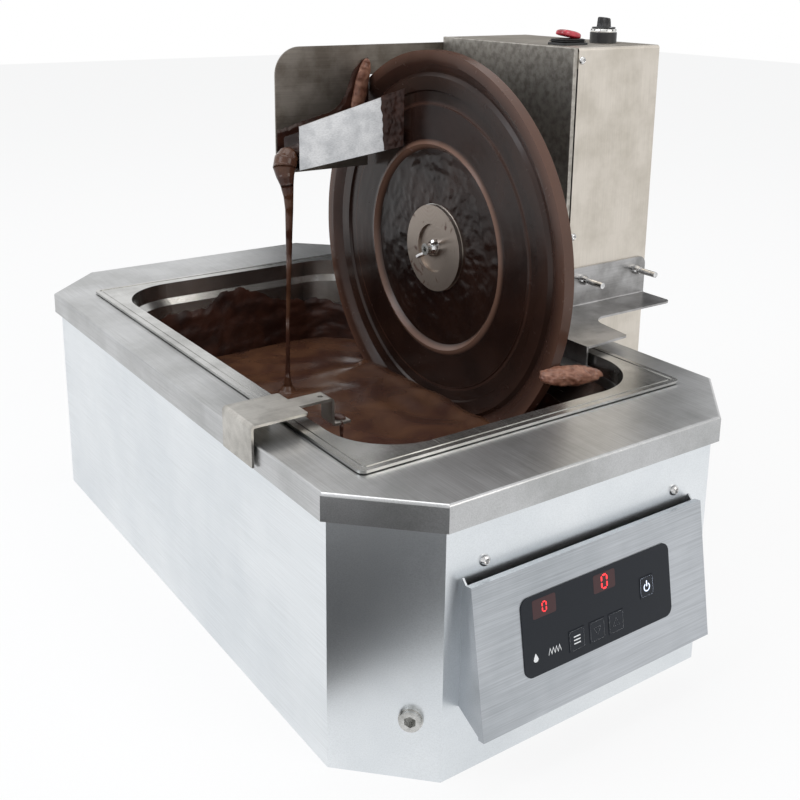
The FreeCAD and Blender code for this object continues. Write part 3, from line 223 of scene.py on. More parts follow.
# ---- Body, deck and base -----------------------------------------------------
# Stainless sheet 1.5 mm thick, folded and welded: the body is brushed along its
# length, and the deck, polished in one piece after its corners were welded,
# carries fine grit lines and a few cloudy patches.
def brushed_metal(name, along, pale="#d2d2cf", dark="#a9a7a2", cloud_mm=70.0, grain=1.0, roughness=0.3):
    """Metal brushed along one axis: the dark tone shows in slow clouds, the lines in its gloss."""
    material, tree = new_material(name)
    where = add(tree, "TexCoord")
    fine = 1 / (0.7 * MM)
    slow = 1 / (60 * MM)
    scale = [slow if axis == along else fine for axis in "XYZ"]
    lines_at = add(tree, "Mapping", {"Vector": where.outputs["Object"], "Scale": scale})
    lines = add(tree, "TexNoise", {"Vector": lines_at.outputs[0], "Scale": 1.0, "Detail": 3.0, "Roughness": 0.6})
    clouds = add(tree, "TexNoise", {"Vector": where.outputs["Object"], "Scale": 1 / (cloud_mm * MM), "Detail": 4.0,
                                    "Roughness": 0.62})
    cloud = add(tree, "ValToRGB", {"Fac": clouds.outputs[0]}, stops=[(0.36, dark), (0.6, pale)])
    streak = add(tree, "ValToRGB", {"Fac": lines.outputs[0]}, stops=[(0.3, "#8f8f8f"), (0.62, "#ffffff")])
    tint = add(tree, "Mix", {0: 0.3 * grain, 6: cloud.outputs[0], 7: streak.outputs[0]},
               data_type="RGBA", blend_type="MULTIPLY")
    rough = add(tree, "MapRange", {"Value": lines.outputs[0], "To Min": roughness - 0.06, "To Max": roughness + 0.1})
    bump = add(tree, "Bump", {"Strength": 0.12 * grain, "Distance": 0.1 * MM, "Height": lines.outputs[0]})
    steel = add(tree, "BsdfPrincipled", {"Base Color": tint.outputs[2], "Metallic": 1.0,
                                         "Roughness": rough.outputs[0], "Normal": bump.outputs[0]})
    add(tree, "OutputMaterial", {"Surface": steel.outputs[0]})
    return material


def dress(material, *names):
    """Gives CAD nodes a material through their slots."""
    for name in names:
        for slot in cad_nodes[name].material_slots:
            slot.material = material


def finish_piece(name, bm, material, body, sharp=35):
    """Turns a bmesh into a piece that rides on a body."""
    bmesh.ops.remove_doubles(bm, verts=bm.verts, dist=1e-6)
    bmesh.ops.recalc_face_normals(bm, faces=bm.faces)
    limit = math.radians(sharp)
    for face in bm.faces:
        face.smooth = True
    for edge in bm.edges:
        edge.smooth = edge.calc_face_angle(0.0) < limit
    mesh = bpy.data.meshes.new(name)
    bm.to_mesh(mesh)
    bm.free()
    piece = new_object(name, mesh, material)
    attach(piece, body)
    return piece


# The body is nearly white and even, the deck greyer with clouds, and the base has zinc spangle.
body_steel = brushed_metal("brushed_stainless_body", "Y", "#e9edf0", "#dee3e7", 160, 0.5)
deck_steel = brushed_metal("brushed_stainless_deck", "Y", "#c6c7c8", "#b2b3b3", 70)
zinc_sheet = brushed_metal("galvanised_sheet_steel", "X", "#a9adaf", "#83878a", 14, 0.5, 0.45)
dress(body_steel, "body_shell")
dress(deck_steel, "deck_cover")
dress(zinc_sheet, "base_plate")


# ---- Water bath, heater, sensors and drain --------------------------------------
# A drawn stainless bath hangs under the deck. The sheathed heater, the float and the
# thermometer go through its front wall; the drain leaves at the cut corner.
bath_steel = brushed_metal("pickled_stainless_bath", "X", "#b9b9b6", "#8f8f8b", 80, 0.5, 0.4)
heater_alloy = brushed_metal("sheathed_heater_alloy", "Y", "#8f8a82", "#5f5a54", 12, 0.8, 0.45)
turned_steel = brushed_metal("turned_stainless", "X", "#cfcfcd", "#a5a5a2", 9, 0.8, 0.25)
dress(bath_steel, "water_tank")
dress(heater_alloy, "heating_element")
dress(turned_steel, "water_level_sensor", "water_temperature_sensor", "drain_pipe", "drain_plug")


# ---- Pan and seal -----------------------------------------------------------------
# Deep-drawn stainless pan, smooth inside, its rim stiffened with a pressed groove.
# It rests on a pale silicone seal round the deck's opening.
pan_steel = brushed_metal("drawn_stainless_pan", "Y", "#c9c9c7", "#9f9f9c", 90, 0.4, 0.22)
dress(pan_steel, "gn_pan")


def moulded(name, code, shade, roughness, grain_mm, bump=0.15, gloss=0.5):
    """Moulded plastic, rubber or paint: two close tones and a fine skin texture."""
    material, tree = new_material(name)
    where = add(tree, "TexCoord")
    skin = add(tree, "TexNoise", {"Vector": where.outputs["Object"], "Scale": 1 / (grain_mm * MM), "Detail": 3.0})
    tone = add(tree, "ValToRGB", {"Fac": skin.outputs[0]}, stops=[(0.35, shade), (0.65, code)])
    rough = add(tree, "MapRange", {"Value": skin.outputs[0], "To Min": roughness - 0.05, "To Max": roughness + 0.08})
    height = add(tree, "Bump", {"Strength": bump, "Distance": 0.05 * MM, "Height": skin.outputs[0]})
    shell = add(tree, "BsdfPrincipled", {"Base Color": tone.outputs[0], "Roughness": rough.outputs[0],
                                         "Specular IOR Level": gloss, "Normal": height.outputs[0]})
    add(tree, "OutputMaterial", {"Surface": shell.outputs[0]})
    return material


dress(moulded("silicone_seal", "#c9c8c0", "#b7b6ad", 0.55, 2.0), "pan_seal")


# ---- Control box --------------------------------------------------------------------
# Wedge-shaped box of brushed sheet on the front. Its tilted face carries a printed
# polyester membrane with four keys and two lit displays, and the circuit board behind.
panel_steel = brushed_metal("brushed_stainless_panel", "X", "#bfc3c8", "#acb1b6", 120, 1.0, 0.34)
board_green = moulded("glass_fibre_board", "#1f6b3d", "#17552f", 0.4, 1.2)
black_rubber = moulded("black_rubber", "#1b1b1c", "#101011", 0.6, 1.0)
black_nylon = moulded("black_nylon", "#1a1a1c", "#111113", 0.38, 0.8)
overlay_film = moulded("printed_polyester_film", "#1b2028", "#161a21", 0.42, 0.6, 0.08, 0.25)
key_film = moulded("embossed_key_film", "#1e232b", "#191d24", 0.42, 0.6, 0.08, 0.25)
dress(panel_steel, "control_front_plate", "control_box_shell")
dress(black_rubber, "control_box_gasket", "tower_buffers")
dress(overlay_film, "membrane_overlay")
dress(key_film, "key_program", "key_down", "key_up", "key_power")
dress(board_green, "controller_board", "speed_control_board")
dress(moulded("red_display_window", "#5a0d12", "#3d090d", 0.2, 1.0), "led_displays")

plate_low, plate_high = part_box("control_front_plate")
lean = math.radians(9.8)      # of the front plate, away from upright
half_panel = 55.8 * MM        # half the plate's height, along its slope
panel = Matrix.Translation(((plate_low.x + plate_high.x) / 2, plate_low.y + half_panel * math.sin(lean),
                            plate_high.z - half_panel * math.cos(lean))) @ Matrix.Rotation(math.pi / 2 - lean, 4, "X")
print_white = moulded("white_print", "#ffffff", "#eef1f4", 0.4, 0.5, 0.05)


def glowing(name, code, strength, base="#401014"):
    """Lit plastic: a faint grain in a glowing colour."""
    material, tree = new_material(name)
    where = add(tree, "TexCoord")
    grain = add(tree, "TexNoise", {"Vector": where.outputs["Object"], "Scale": 1 / (1.5 * MM)})
    level = add(tree, "MapRange", {"Value": grain.outputs[0], "To Min": 0.8 * strength, "To Max": 1.2 * strength})
    shell = add(tree, "BsdfPrincipled", {"Base Color": srgb(base), "Roughness": 0.3, "Emission Color": srgb(code),
                                         "Emission Strength": level.outputs[0]})
    add(tree, "OutputMaterial", {"Surface": shell.outputs[0]})
    return material


lit_red = glowing("lit_red_segments", "#ff2a30", 2.6)
dark_window = glowing("dark_red_window", "#6a0c14", 0.16, "#1d0b0f")
lit_blue = glowing("lit_key_print", "#dfe9ff", 1.0, "#cfdcf5")


def print_shape(bm, points, low, high, ring=0.0):
    """Flat printed shape in panel millimetres: a filled outline, or only its edge when ring is given."""
    face = bm.faces.new([bm.verts.new((u * MM, v * MM, low * MM)) for u, v in points])
    if ring:
        bmesh.ops.inset_region(bm, faces=[face], thickness=ring * MM, use_even_offset=True, use_boundary=True)
        rim = [f for e in face.edges for f in e.link_faces if f is not face]
        bmesh.ops.delete(bm, geom=[face], context="FACES")
        faces = rim
    else:
        faces = [face]
    grown = bmesh.ops.extrude_face_region(bm, geom=faces)["geom"]
    bmesh.ops.translate(bm, vec=(0, 0, (high - low) * MM), verts=of_kind(grown, bmesh.types.BMVert))


def rounded(u, v, width, height, radius, count=4):
    """Corner points of a rounded rectangle."""
    points = []
    for turn, (su, sv) in enumerate(((1, 1), (-1, 1), (-1, -1), (1, -1))):
        for i in range(count + 1):
            angle = math.radians(90 * turn + 90 * i / count)
            points.append((u + su * (width / 2 - radius) + radius * math.cos(angle),
                           v + sv * (height / 2 - radius) + radius * math.sin(angle)))
    return points


def printed(name, shapes, material, body, low=0.8, high=0.9):
    """Puts printed shapes (points, ring) on the panel's tilted face."""
    bm = bmesh.new()
    for points, ring in shapes:
        print_shape(bm, points, low, high, ring)
    bmesh.ops.transform(bm, matrix=panel, verts=bm.verts)
    return finish_piece(name, bm, material, body)


display_places = ((-53.5, 23.5), (5.7, 23.5))
printed("display_windows", [(rounded(u, v, 22, 14, 1.5), 0) for u, v in display_places], dark_window, "machine",
        0.8, 0.86)
segments = []
for (u, v), size in zip(display_places, (0.8, 1.15)):
    for du, dv, along in ((0, 4.4, "u"), (0, -4.4, "u"), (-2.3, 2.2, "v"), (2.3, 2.2, "v"),
                          (-2.3, -2.2, "v"), (2.3, -2.2, "v")):
        long, thin = (1.7, 0.55) if along == "u" else (1.75, 0.55)
        ends = [(long, 0), (long - thin, thin), (thin - long, thin),
                (-long, 0), (thin - long, -thin), (long - thin, -thin)]
        bar = [(a, b) if along == "u" else (-b, a) for a, b in ends]
        segments.append(([(u + (du + a) * size, v + (dv + b) * size) for a, b in bar], 0))
printed("display_digits", segments, lit_red, "machine", 0.86, 0.95)

drop = []
for i in range(18):
    across, rise = math.cos(math.radians(20 * i)), math.sin(math.radians(20 * i))
    if rise < 0:
        drop.append((-64.5 + 2.3 * across, -12.4 + 2.3 * rise))
    else:
        drop.append((-64.5 + 2.3 * across * (1 - 0.75 * rise), -12.4 + 4.2 * rise))
zigzag_low = [(-52.4 + 1.5 * i, -13.0 + (3.2 if i % 2 else -1.2)) for i in range(9)]
zigzag = zigzag_low + [(u, v + 1.3) for u, v in reversed(zigzag_low)]
printed("status_icons", [(drop, 0), (zigzag, 0)], print_white, "machine")
keys = {"program": (-24.9, -11.0), "down": (-4.5, -11.0), "up": (15.0, -11.0)}
for key, (u, v) in keys.items():
    shapes = [(rounded(u, v, 13.8, 14.4, 1.6), 0.95)]
    if key == "program":
        for dv in (-2.6, 0, 2.6):
            shapes.append(([(u - 3.2, v + dv - 0.45), (u + 3.2, v + dv - 0.45),
                            (u + 3.2, v + dv + 0.45), (u - 3.2, v + dv + 0.45)], 0))
    else:
        way = 1 if key == "up" else -1
        points = [(u - 3.6, v - 2.6 * way), (u + 3.6, v - 2.6 * way), (u, v + 3.4 * way)]
        shapes.append((points if way > 0 else points[::-1], 0.95))
    printed(key + "_key_print", shapes, print_white, key + "_key", 1.15, 1.22)


def arc(u, v, radius):
    """Points of the power sign's open ring, from the left of its gap to the right."""
    turns = [math.radians(a) for a in range(120, 421, 20)]
    return [(u + radius * math.cos(a), v + radius * math.sin(a)) for a in turns]


power_u, power_v = 49.0, 6.0
ring = arc(power_u, power_v - 0.6, 3.4) + arc(power_u, power_v - 0.6, 2.5)[::-1]
bar = [(power_u - 0.5, power_v), (power_u + 0.5, power_v),
       (power_u + 0.5, power_v + 4.6), (power_u - 0.5, power_v + 4.6)]
printed("power_key_print", [(rounded(power_u, power_v, 13.0, 14.8, 1.8), 0.9), (ring, 0), (bar, 0)],
        lit_blue, "power_key", 1.15, 1.22)


def turned(bm, profile, centre, outward, steps=40):
    """Spins (along, radius) points in millimetres about an axis; the path starts and ends where its shape closes."""
    centre = Vector(centre) * MM
    outward = Vector(outward)
    side = outward.orthogonal().normalized()
    verts = [bm.verts.new(centre + outward * (a * MM) + side * (r * MM)) for a, r in profile]
    edges = [bm.edges.new(pair) for pair in zip(verts, verts[1:])]
    if profile[0][1] > 0 and profile[-1][1] > 0:
        edges.append(bm.edges.new((verts[-1], verts[0])))
    bmesh.ops.spin(bm, geom=verts + edges, cent=centre, axis=outward, angle=math.tau, steps=steps, use_merge=True)
    bmesh.ops.remove_doubles(bm, verts=bm.verts, dist=1e-7)


def button_screw(bm, seat, outward, radius, height):
    """Domed socket screw head: turned, with a hexagon recess."""
    profile = [(-0.4, 0), (-0.4, radius * 0.9), (0, radius), (0.3 * height, 0.97 * radius),
               (0.6 * height, 0.85 * radius), (0.85 * height, 0.68 * radius), (height, 0.52 * radius),
               (0.96 * height, 0.46 * radius), (0.35 * height, 0.44 * radius), (0.3 * height, 0)]
    turned(bm, profile, seat, outward, 24)


# Small screws and nuts are the brightest metal: nearly a mirror, hardly any grain.
chrome = brushed_metal("bright_stainless_screws", "Z", "#e3e3e3", "#b9b9b9", 5, 0.3, 0.14)
bm = bmesh.new()
for x in (-99.0, 92.0):
    button_screw(bm, (x, -335, 166), (0, -1, 0), 4.5, 3.2)
screws = finish_piece("body_dome_screws", bm, chrome, "machine")
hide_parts("panel_screws")


# ---- Back of the body --------------------------------------------------------------
# Mains inlet in black nylon with tinned pins, and the turned socket for the probe.
dress(black_nylon, "power_inlet", "rocker_switch_body", "tower_cable_gland")
dress(turned_steel, "probe_socket")


# ---- Tower ---------------------------------------------------------------------------
# The drive's casing: a shallow tray on the wheel's side and a folded cover over it,
# both of stainless sheet with a coarse, blotchy finish, joined by small socket screws.
# The tray is painted a darker grey than the cover: a painted reflection of the dark parts its side faces; its fine
# blotches are the coarse finish.
tower_side = brushed_metal("stainless_tower_side_painted_reflection", "Z", "#b3afa8", "#918d86", 7, 0.5, 0.42)
tower_steel = brushed_metal("brushed_stainless_tower", "Z", "#d6cfc5", "#c5beb3", 42, 0.5, 0.34)
dress(tower_side, "tower_left_panel")
dress(tower_steel, "tower_cover")
dress(zinc_sheet, "tower_floor_plate")
dress(deck_steel, "tower_hook")
dress(chrome, "frame_screws")
bm = bmesh.new()
seam_x, tower_front, tower_back = 212.5, -84, 123.5
for z in (478.0, 304.0, 175.0):
    button_screw(bm, (seam_x, tower_front, z), (0, -1, 0), 4.0, 2.6)
for z in (304.0, 175.0):
    button_screw(bm, (seam_x, tower_back, z), (0, 1, 0), 4.0, 2.6)
for x, z in ((81.0, 398.5), (25.0, 387.1)):
    button_screw(bm, (x, 125.5, z), (0, 1, 0), 4.0, 2.4)
screws = finish_piece("tower_cover_screws", bm, chrome, "machine")
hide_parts("cover_screws")


# ---- Gearbox and motor -----------------------------------------------------------------
# Die-cast alloy housing and lid, steel spur gears, sintered bronze bushes, and a motor
# with a black baked enamel coat.
cast_alloy = moulded("die_cast_alloy", "#a9abad", "#96989a", 0.5, 3.0, 0.3)
# Cut gears are dull grey with tool marks, and the porous bushes brown.
gear_steel = brushed_metal("hobbed_gear_steel", "X", "#8d8d8e", "#6a6a6b", 12, 1.0, 0.35)
bronze = brushed_metal("sintered_bronze", "X", "#b58a4c", "#94703c", 6, 0.5, 0.4)
dress(cast_alloy, "gearbox_housing", "gearbox_lid")
dress(gear_steel, "output_gear", "gear_key", "motor_pinion")
dress(bronze, "shaft_bushes")
dress(turned_steel, "drive_shaft", "motor_shaft", "wheel_hub", "potentiometer")
dress(moulded("black_baked_enamel", "#202124", "#17181a", 0.35, 2.0), "gear_motor")


# ---- Wheel, washer and wing nut ----------------------------------------------------------
# Spun stainless disc that turns through the chocolate, clamped to its hub by a turned
# washer and a pressed wing nut. The washer shows its turning rings and smears of chocolate.
wheel_low, wheel_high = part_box("tempering_wheel")
axis_y, axis_z = 10.0, (wheel_low.z + wheel_high.z) / 2 / MM
washer_steel, tree = new_material("turned_stainless_washer")
where = add(tree, "TexCoord")
rings = add(tree, "Math", {0: about_axis(tree, where), 1: math.tau / (1.3 * MM)}, operation="MULTIPLY")
rings = add(tree, "Math", {0: rings.outputs[0]}, operation="SINE")
smear = add(tree, "TexNoise", {"Vector": where.outputs["Object"], "Scale": 1 / (14 * MM), "Detail": 5.0,
                               "Distortion": 1.2})
stain = add(tree, "ValToRGB", {"Fac": smear.outputs[0]}, stops=[(0.6, "#000000"), (0.7, "#ffffff")])
tone = add(tree, "MapRange", {"Value": rings.outputs[0], "From Min": -1.0, "To Min": 0.0, "To Max": 1.0})
steel = add(tree, "Mix", {0: tone.outputs[0], 6: srgb("#8c8178"), 7: srgb("#b5aaa1")}, data_type="RGBA")
colour = add(tree, "Mix", {0: stain.outputs[0], 6: steel.outputs[2], 7: srgb("#54362a")}, data_type="RGBA")
metal = add(tree, "Math", {0: 1.0, 1: stain.outputs[0]}, operation="SUBTRACT")
bump = add(tree, "Bump", {"Strength": 0.3, "Distance": 0.1 * MM, "Height": rings.outputs[0]})
shell = add(tree, "BsdfPrincipled", {"Base Color": colour.outputs[2], "Metallic": metal.outputs[0], "Roughness": 0.32,
                                     "Normal": bump.outputs[0]})
add(tree, "OutputMaterial", {"Surface": shell.outputs[0]})
dress(washer_steel, "hub_washer")
dress(pan_steel, "tempering_wheel")


def wing_nut(bm, seat, outward, wings, hub, height, span, rise, bore):
    """Turned hub with two pressed, dished wings; wings is their direction."""
    outward, wings = Vector(outward).normalized(), Vector(wings).normalized()
    turn = Matrix((wings, outward.cross(wings), outward)).transposed().to_4x4()
    place = Matrix.Translation(Vector(seat) * MM) @ turn
    local = bmesh.new()
    hub_profile = [(0, bore), (0, hub), (0.35 * height, 0.98 * hub), (0.75 * height, 0.74 * hub),
                   (height, 0.66 * hub), (height, bore)]
    turned(local, hub_profile, (0, 0, 0), (0, 0, 1), 32)
    for side in (1, -1):
        outline = [(0.5 * hub, 0.1 * height), (1.15 * hub, 0.1 * height), (0.72 * span, 0.3 * rise),
                   (0.98 * span, 0.68 * rise), (span, rise), (0.88 * span, 1.12 * rise),
                   (0.66 * span, 1.0 * rise), (0.95 * hub, 0.72 * height), (0.5 * hub, 0.8 * height)]
        face = local.faces.new([local.verts.new((side * x * MM, -0.14 * hub * MM, z * MM)) for x, z in outline])
        grown = bmesh.ops.extrude_face_region(local, geom=[face])["geom"]
        bmesh.ops.translate(local, vec=(0, 0.28 * hub * MM, 0), verts=of_kind(grown, bmesh.types.BMVert))
        caps = [face] + of_kind(grown, bmesh.types.BMFace)
        bmesh.ops.inset_individual(local, faces=caps, thickness=0.09 * hub * MM, depth=0)
        for cap, way in zip(caps, (1, -1)):
            bmesh.ops.translate(local, vec=(0, way * 0.06 * hub * MM, 0), verts=cap.verts[:])
    bmesh.ops.recalc_face_normals(local, faces=local.faces)
    bmesh.ops.transform(local, matrix=place, verts=local.verts)
    part = bpy.data.meshes.new("nut")
    local.to_mesh(part)
    local.free()
    bm.from_mesh(part)
    bpy.data.meshes.remove(part)


bm = bmesh.new()
lead = math.radians(129)
wing_nut(bm, (111, axis_y, axis_z), (-1, 0, 0), (0, math.sin(lead), math.cos(lead)), 8.5, 9.5, 18.8, 12.6, 6.05)
nut = finish_piece("wheel_wing_nut_detailed", bm, chrome, "wheel_nut", 30)
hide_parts("wheel_wing_nut")


# ---- Rocker switch ---------------------------------------------------------------------------
# Sealed mains rocker: a translucent red cap in a ribbed black rubber boot.
def stacked(bm, place, half_x, half_y, radius, steps):
    """Closed rounded block raised ring by ring: steps are (height, growth) in millimetres."""
    x, y, z = place
    outline = rounded(x, y, 2 * half_x, 2 * half_y, radius, 6)
    face = bm.faces.new([bm.verts.new((px * MM, py * MM, z * MM)) for px, py in outline])
    last = steps[0][1]
    for height, growth in steps:
        face = of_kind(bmesh.ops.extrude_face_region(bm, geom=[face])["geom"], bmesh.types.BMFace)[0]
        sx, sy = (half_x + growth) / (half_x + last), (half_y + growth) / (half_y + last)
        for vert in face.verts:
            vert.co = (x * MM + (vert.co.x - x * MM) * sx, y * MM + (vert.co.y - y * MM) * sy, (z + height) * MM)
        last = growth


tower_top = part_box("tower_cover")[1].z / MM
rocker_x, rocker_y = 232.0, -42.0
bm = bmesh.new()
boot_steps = [(0.3, 0), (1.8, 0), (2.3, -0.5), (2.5, -2.6), (2.9, -2.9), (3.4, -1.4), (3.8, -1.2),
              (4.3, -2.2), (4.6, -3.0), (4.9, -2.2), (5.3, -2.0), (5.8, -2.8), (6.0, -3.6)]
stacked(bm, (rocker_x, rocker_y, tower_top), 17, 13, 4, boot_steps)
boot = finish_piece("rocker_rubber_boot", bm, black_rubber, "machine", 60)
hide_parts("rocker_boot")
# The cap's faint emission is painted light: a glow over the whole cap that stands in for the bright pinkish highlight
# at its centre.
red_cap, tree = new_material("translucent_red_polycarbonate")
where = add(tree, "TexCoord")
cloud = add(tree, "TexNoise", {"Vector": where.outputs["Object"], "Scale": 1 / (9 * MM), "Detail": 1.0})
tone = add(tree, "ValToRGB", {"Fac": cloud.outputs[0]}, stops=[(0.35, "#8e1422"), (0.65, "#c8384a")])
shell = add(tree, "BsdfPrincipled", {"Base Color": tone.outputs[0], "Roughness": 0.12, "IOR": 1.58,
                                     "Emission Color": srgb("#a01020"), "Emission Strength": 0.12})
add(tree, "OutputMaterial", {"Surface": shell.outputs[0]})
pivot = Vector((rocker_x, rocker_y, tower_top + 7)) * MM
bm = bmesh.new()
bmesh.ops.create_uvsphere(bm, u_segments=48, v_segments=24, radius=1.0)
for vert in bm.verts:
    x, y, z = (math.copysign(abs(c) ** 0.62, c) for c in vert.co)
    vert.co = Vector((x * 13.0, y * 8.6, 2.4 + (z * 4.6 if z > 0 else z * 2.0))) * MM + pivot
bmesh.ops.rotate(bm, cent=pivot, matrix=Matrix.Rotation(math.radians(10), 3, "Y"), verts=bm.verts)
cap = finish_piece("power_rocker_cap", bm, red_cap, "rocker")
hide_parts("power_rocker")


# ---- Speed dial and knob -------------------------------------------------------------------------
# Black moulded base with a silver scale ring, and a fluted knob with a skirt that turns on it.
knob_x, knob_y = 289.0, -34.0
dial_silver = brushed_metal("anodised_silver_ring", "X", "#e6e6e4", "#cfcfcc", 6, 0.4, 0.3)
bm = bmesh.new()
knob_seat = (knob_x, knob_y, tower_top)
turned(bm, [(0, 4.6), (0, 13.4), (0.4, 13.7), (10.4, 13.7), (10.9, 13.3), (11.1, 12.2), (11.1, 4.6)],
       knob_seat, (0, 0, 1), 64)
base = finish_piece("dial_black_base", bm, black_nylon, "machine")
bm = bmesh.new()
turned(bm, [(11.0, 4.6), (11.0, 12.9), (12.2, 13.2), (13.8, 12.6), (14.3, 12.0), (14.4, 4.6)],
       knob_seat, (0, 0, 1), 64)
ring_piece = finish_piece("dial_silver_ring", bm, dial_silver, "machine")
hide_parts("dial_base")
bm = bmesh.new()
for i in range(11):
    made = bmesh.ops.create_cube(bm, size=1.0)["verts"]
    bmesh.ops.scale(bm, vec=(1.4 * MM, 0.7 * MM if i % 5 else 1.3 * MM, 1.9 * MM), verts=made)
    bmesh.ops.translate(bm, vec=(12.45 * MM, 0, (tower_top + 13.0) * MM), verts=made)
    bmesh.ops.rotate(bm, cent=(0, 0, 0), matrix=Matrix.Rotation(math.radians(-240 + 30 * i), 3, "Z"), verts=made)
    bmesh.ops.translate(bm, vec=(knob_x * MM, knob_y * MM, 0), verts=made)
finish_piece("dial_scale_marks", bm, black_nylon, "machine")
bm = bmesh.new()
turned(bm, [(-9, 0), (-9, 2.9), (14.7, 2.9), (14.7, 11.7), (15.0, 12.0), (15.6, 12.0), (15.9, 11.6),
            (16.1, 7.6), (17.0, 7.2), (21.0, 6.9), (25.0, 6.5), (25.8, 6.1), (26.1, 5.4), (26.1, 0)],
       knob_seat, (0, 0, 1), 96)
for vert in bm.verts:
    away = Vector((vert.co.x - knob_x * MM, vert.co.y - knob_y * MM, 0))
    height = vert.co.z / MM - tower_top
    if height > 16.5:
        flute = 1 - 0.07 * (0.5 + 0.5 * math.cos(24 * math.atan2(away.y, away.x)))
        vert.co.x, vert.co.y = knob_x * MM + away.x * flute, knob_y * MM + away.y * flute
        if height > 24:
            vert.co.z -= 0.14 * away.x + 0.7 * MM
knob = finish_piece("speed_knob_fluted", bm, black_nylon, "speed_knob", 40)
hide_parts("speed_knob")
bm = bmesh.new()
made = bmesh.ops.create_cube(bm, size=1.0)["verts"]
bmesh.ops.scale(bm, vec=(0.9 * MM, 4.2 * MM, 0.5 * MM), verts=made)
bmesh.ops.bevel(bm, geom=bm.edges[:], offset=0.15 * MM, segments=2, profile=0.5, affect="EDGES", material=-1)
bmesh.ops.translate(bm, vec=(knob_x * MM, (knob_y - 9.6) * MM, (tower_top + 15.95) * MM), verts=bm.verts)
finish_piece("knob_pointer", bm, print_white, "speed_knob")


# ---- Scraper plate and chute --------------------------------------------------------------------------
# Laser-cut 2 mm plate that straddles the wheel, and the bright bent chute screwed to it.
plate_steel = brushed_metal("mill_finish_plate", "X", "#8d8780", "#746d65", 30, 0.8, 0.36)
chute_steel = brushed_metal("ground_stainless_chute", "X", "#e3e4e6", "#c3c5c8", 24, 1.0, 0.3)
dress(plate_steel, "scraper_plate")
dress(chute_steel, "chute")


# ---- Bracket with its wing nuts ----------------------------------------------------------------------------
# Folded 2 mm stainless bracket held on the tower by two studs with pressed wing nuts.
bracket_steel = brushed_metal("ground_stainless_bracket", "X", "#b4b3b3", "#8f8e8d", 35, 0.8, 0.3)
dress(bracket_steel, "support_bracket")
dress(chrome, "bracket_studs")
for side, x, turn in (("left", 228.0, 14), ("right", 304.0, 10)):
    bm = bmesh.new()
    wings = (math.cos(math.radians(turn)), 0, -math.sin(math.radians(turn)))
    wing_nut(bm, (x, -86, 258), (0, -1, 0), wings, 5.4, 7.0, 12.8, 10.2, 3.06)
    nut = finish_piece("wing_nut_" + side + "_detailed", bm, chrome, side + "_nut", 30)
    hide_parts("wing_nut_" + side)


# ---- Probe clip ----------------------------------------------------------------------------------------------
# Folded 2 mm stainless clip that hangs over the deck's edge and slides along it.
clip_steel = brushed_metal("ground_stainless_clip", "X", "#cbc8c2", "#a9a6a0", 30, 0.8, 0.3)
dress(clip_steel, "probe_clip")


# ---- Melted chocolate ------------------------------------------------------------------------------------------
# Dark chocolate at working temperature: thick and glossy. It fills the pan, clings to the
# wall in a rough film, coats the wheel, and runs off the chute's lip in a thin stream.
ramp_end = 200   # radius in mm at the end of the painted highlight bands, just past the wheel's rim


def melted_chocolate(name, dark, pale, patch_mm, roughness, ripple_mm, relief=0.3, bands=None):
    """Glossy chocolate in two tones; bands are (radius in mm, colour) about the wheel's axis: painted highlight rings
    added onto the tones.
    """
    material, tree = new_material(name)
    where = add(tree, "TexCoord")
    patch = add(tree, "TexNoise", {"Vector": where.outputs["Object"], "Scale": 1 / (patch_mm * MM),
                                   "Detail": 4.0, "Distortion": 0.6})
    tone = add(tree, "ValToRGB", {"Fac": patch.outputs[0]}, stops=[(0.36, dark), (0.66, pale)])
    colour = tone.outputs[0]
    # Painted highlights: pale rings added by their radius about the wheel's axis.
    if bands:
        share = add(tree, "Math", {0: about_axis(tree, where), 1: ramp_end * MM}, operation="DIVIDE")
        ramp = add(tree, "ValToRGB", {"Fac": share.outputs[0]}, stops=[(r / ramp_end, code) for r, code in bands])
        mixed = add(tree, "Mix", {0: 1.0, 6: colour, 7: ramp.outputs[0]}, data_type="RGBA", blend_type="ADD")
        colour = mixed.outputs[2]
    fine = add(tree, "TexNoise", {"Vector": where.outputs["Object"], "Scale": 1 / (ripple_mm * MM),
                                  "Detail": 5.0, "Roughness": 0.6})
    bump = add(tree, "Bump", {"Strength": relief, "Distance": 0.4 * MM, "Height": fine.outputs[0]})
    rough = add(tree, "MapRange", {"Value": fine.outputs[0], "To Min": roughness - 0.08, "To Max": roughness + 0.12})
    shell = add(tree, "BsdfPrincipled", {"Base Color": colour, "Roughness": rough.outputs[0], "IOR": 1.46,
                                         "Specular IOR Level": 0.35, "Normal": bump.outputs[0]})
    add(tree, "OutputMaterial", {"Surface": shell.outputs[0]})
    return material


# The pool is smooth and mid brown, films are dark and folded, the ridge and the lump a paler brown;
# the wheel wears a dark coat, and its paler rings at the bead, the step edge and the rim are painted highlights.
pool_chocolate = melted_chocolate("melted_chocolate_pool", "#452b22", "#61422f", 45, 0.18, 14, 0.2)
film_chocolate = melted_chocolate("melted_chocolate_film", "#2a1712", "#46291f", 25, 0.3, 6, 0.8)
# A paler brown, used for the ridge at the wheel and the lump on the bracket.
light_chocolate = melted_chocolate("melted_chocolate_pale", "#6e4636", "#a87b66", 9, 0.3, 4, 0.6)
# Its bands are painted highlights: a pale ring on the bead at 104 to 107.5 mm, a thin one on the step edge at 145.6
# mm, and a brightening towards the rim's edge.
wheel_chocolate = melted_chocolate("melted_chocolate_on_wheel", "#1a0e0b", "#2b1a14", 60, 0.22, 9, 0.3, bands=[
    (60, "#000000"), (100, "#050302"), (104, "#75594b"), (107.5, "#75594b"), (111, "#060403"),
    (144, "#050302"), (145.6, "#3a2821"), (149, "#0a0604"), (158, "#0a0604"), (176, "#241813"),
    (188, "#35241d"), (197, "#553d32")])

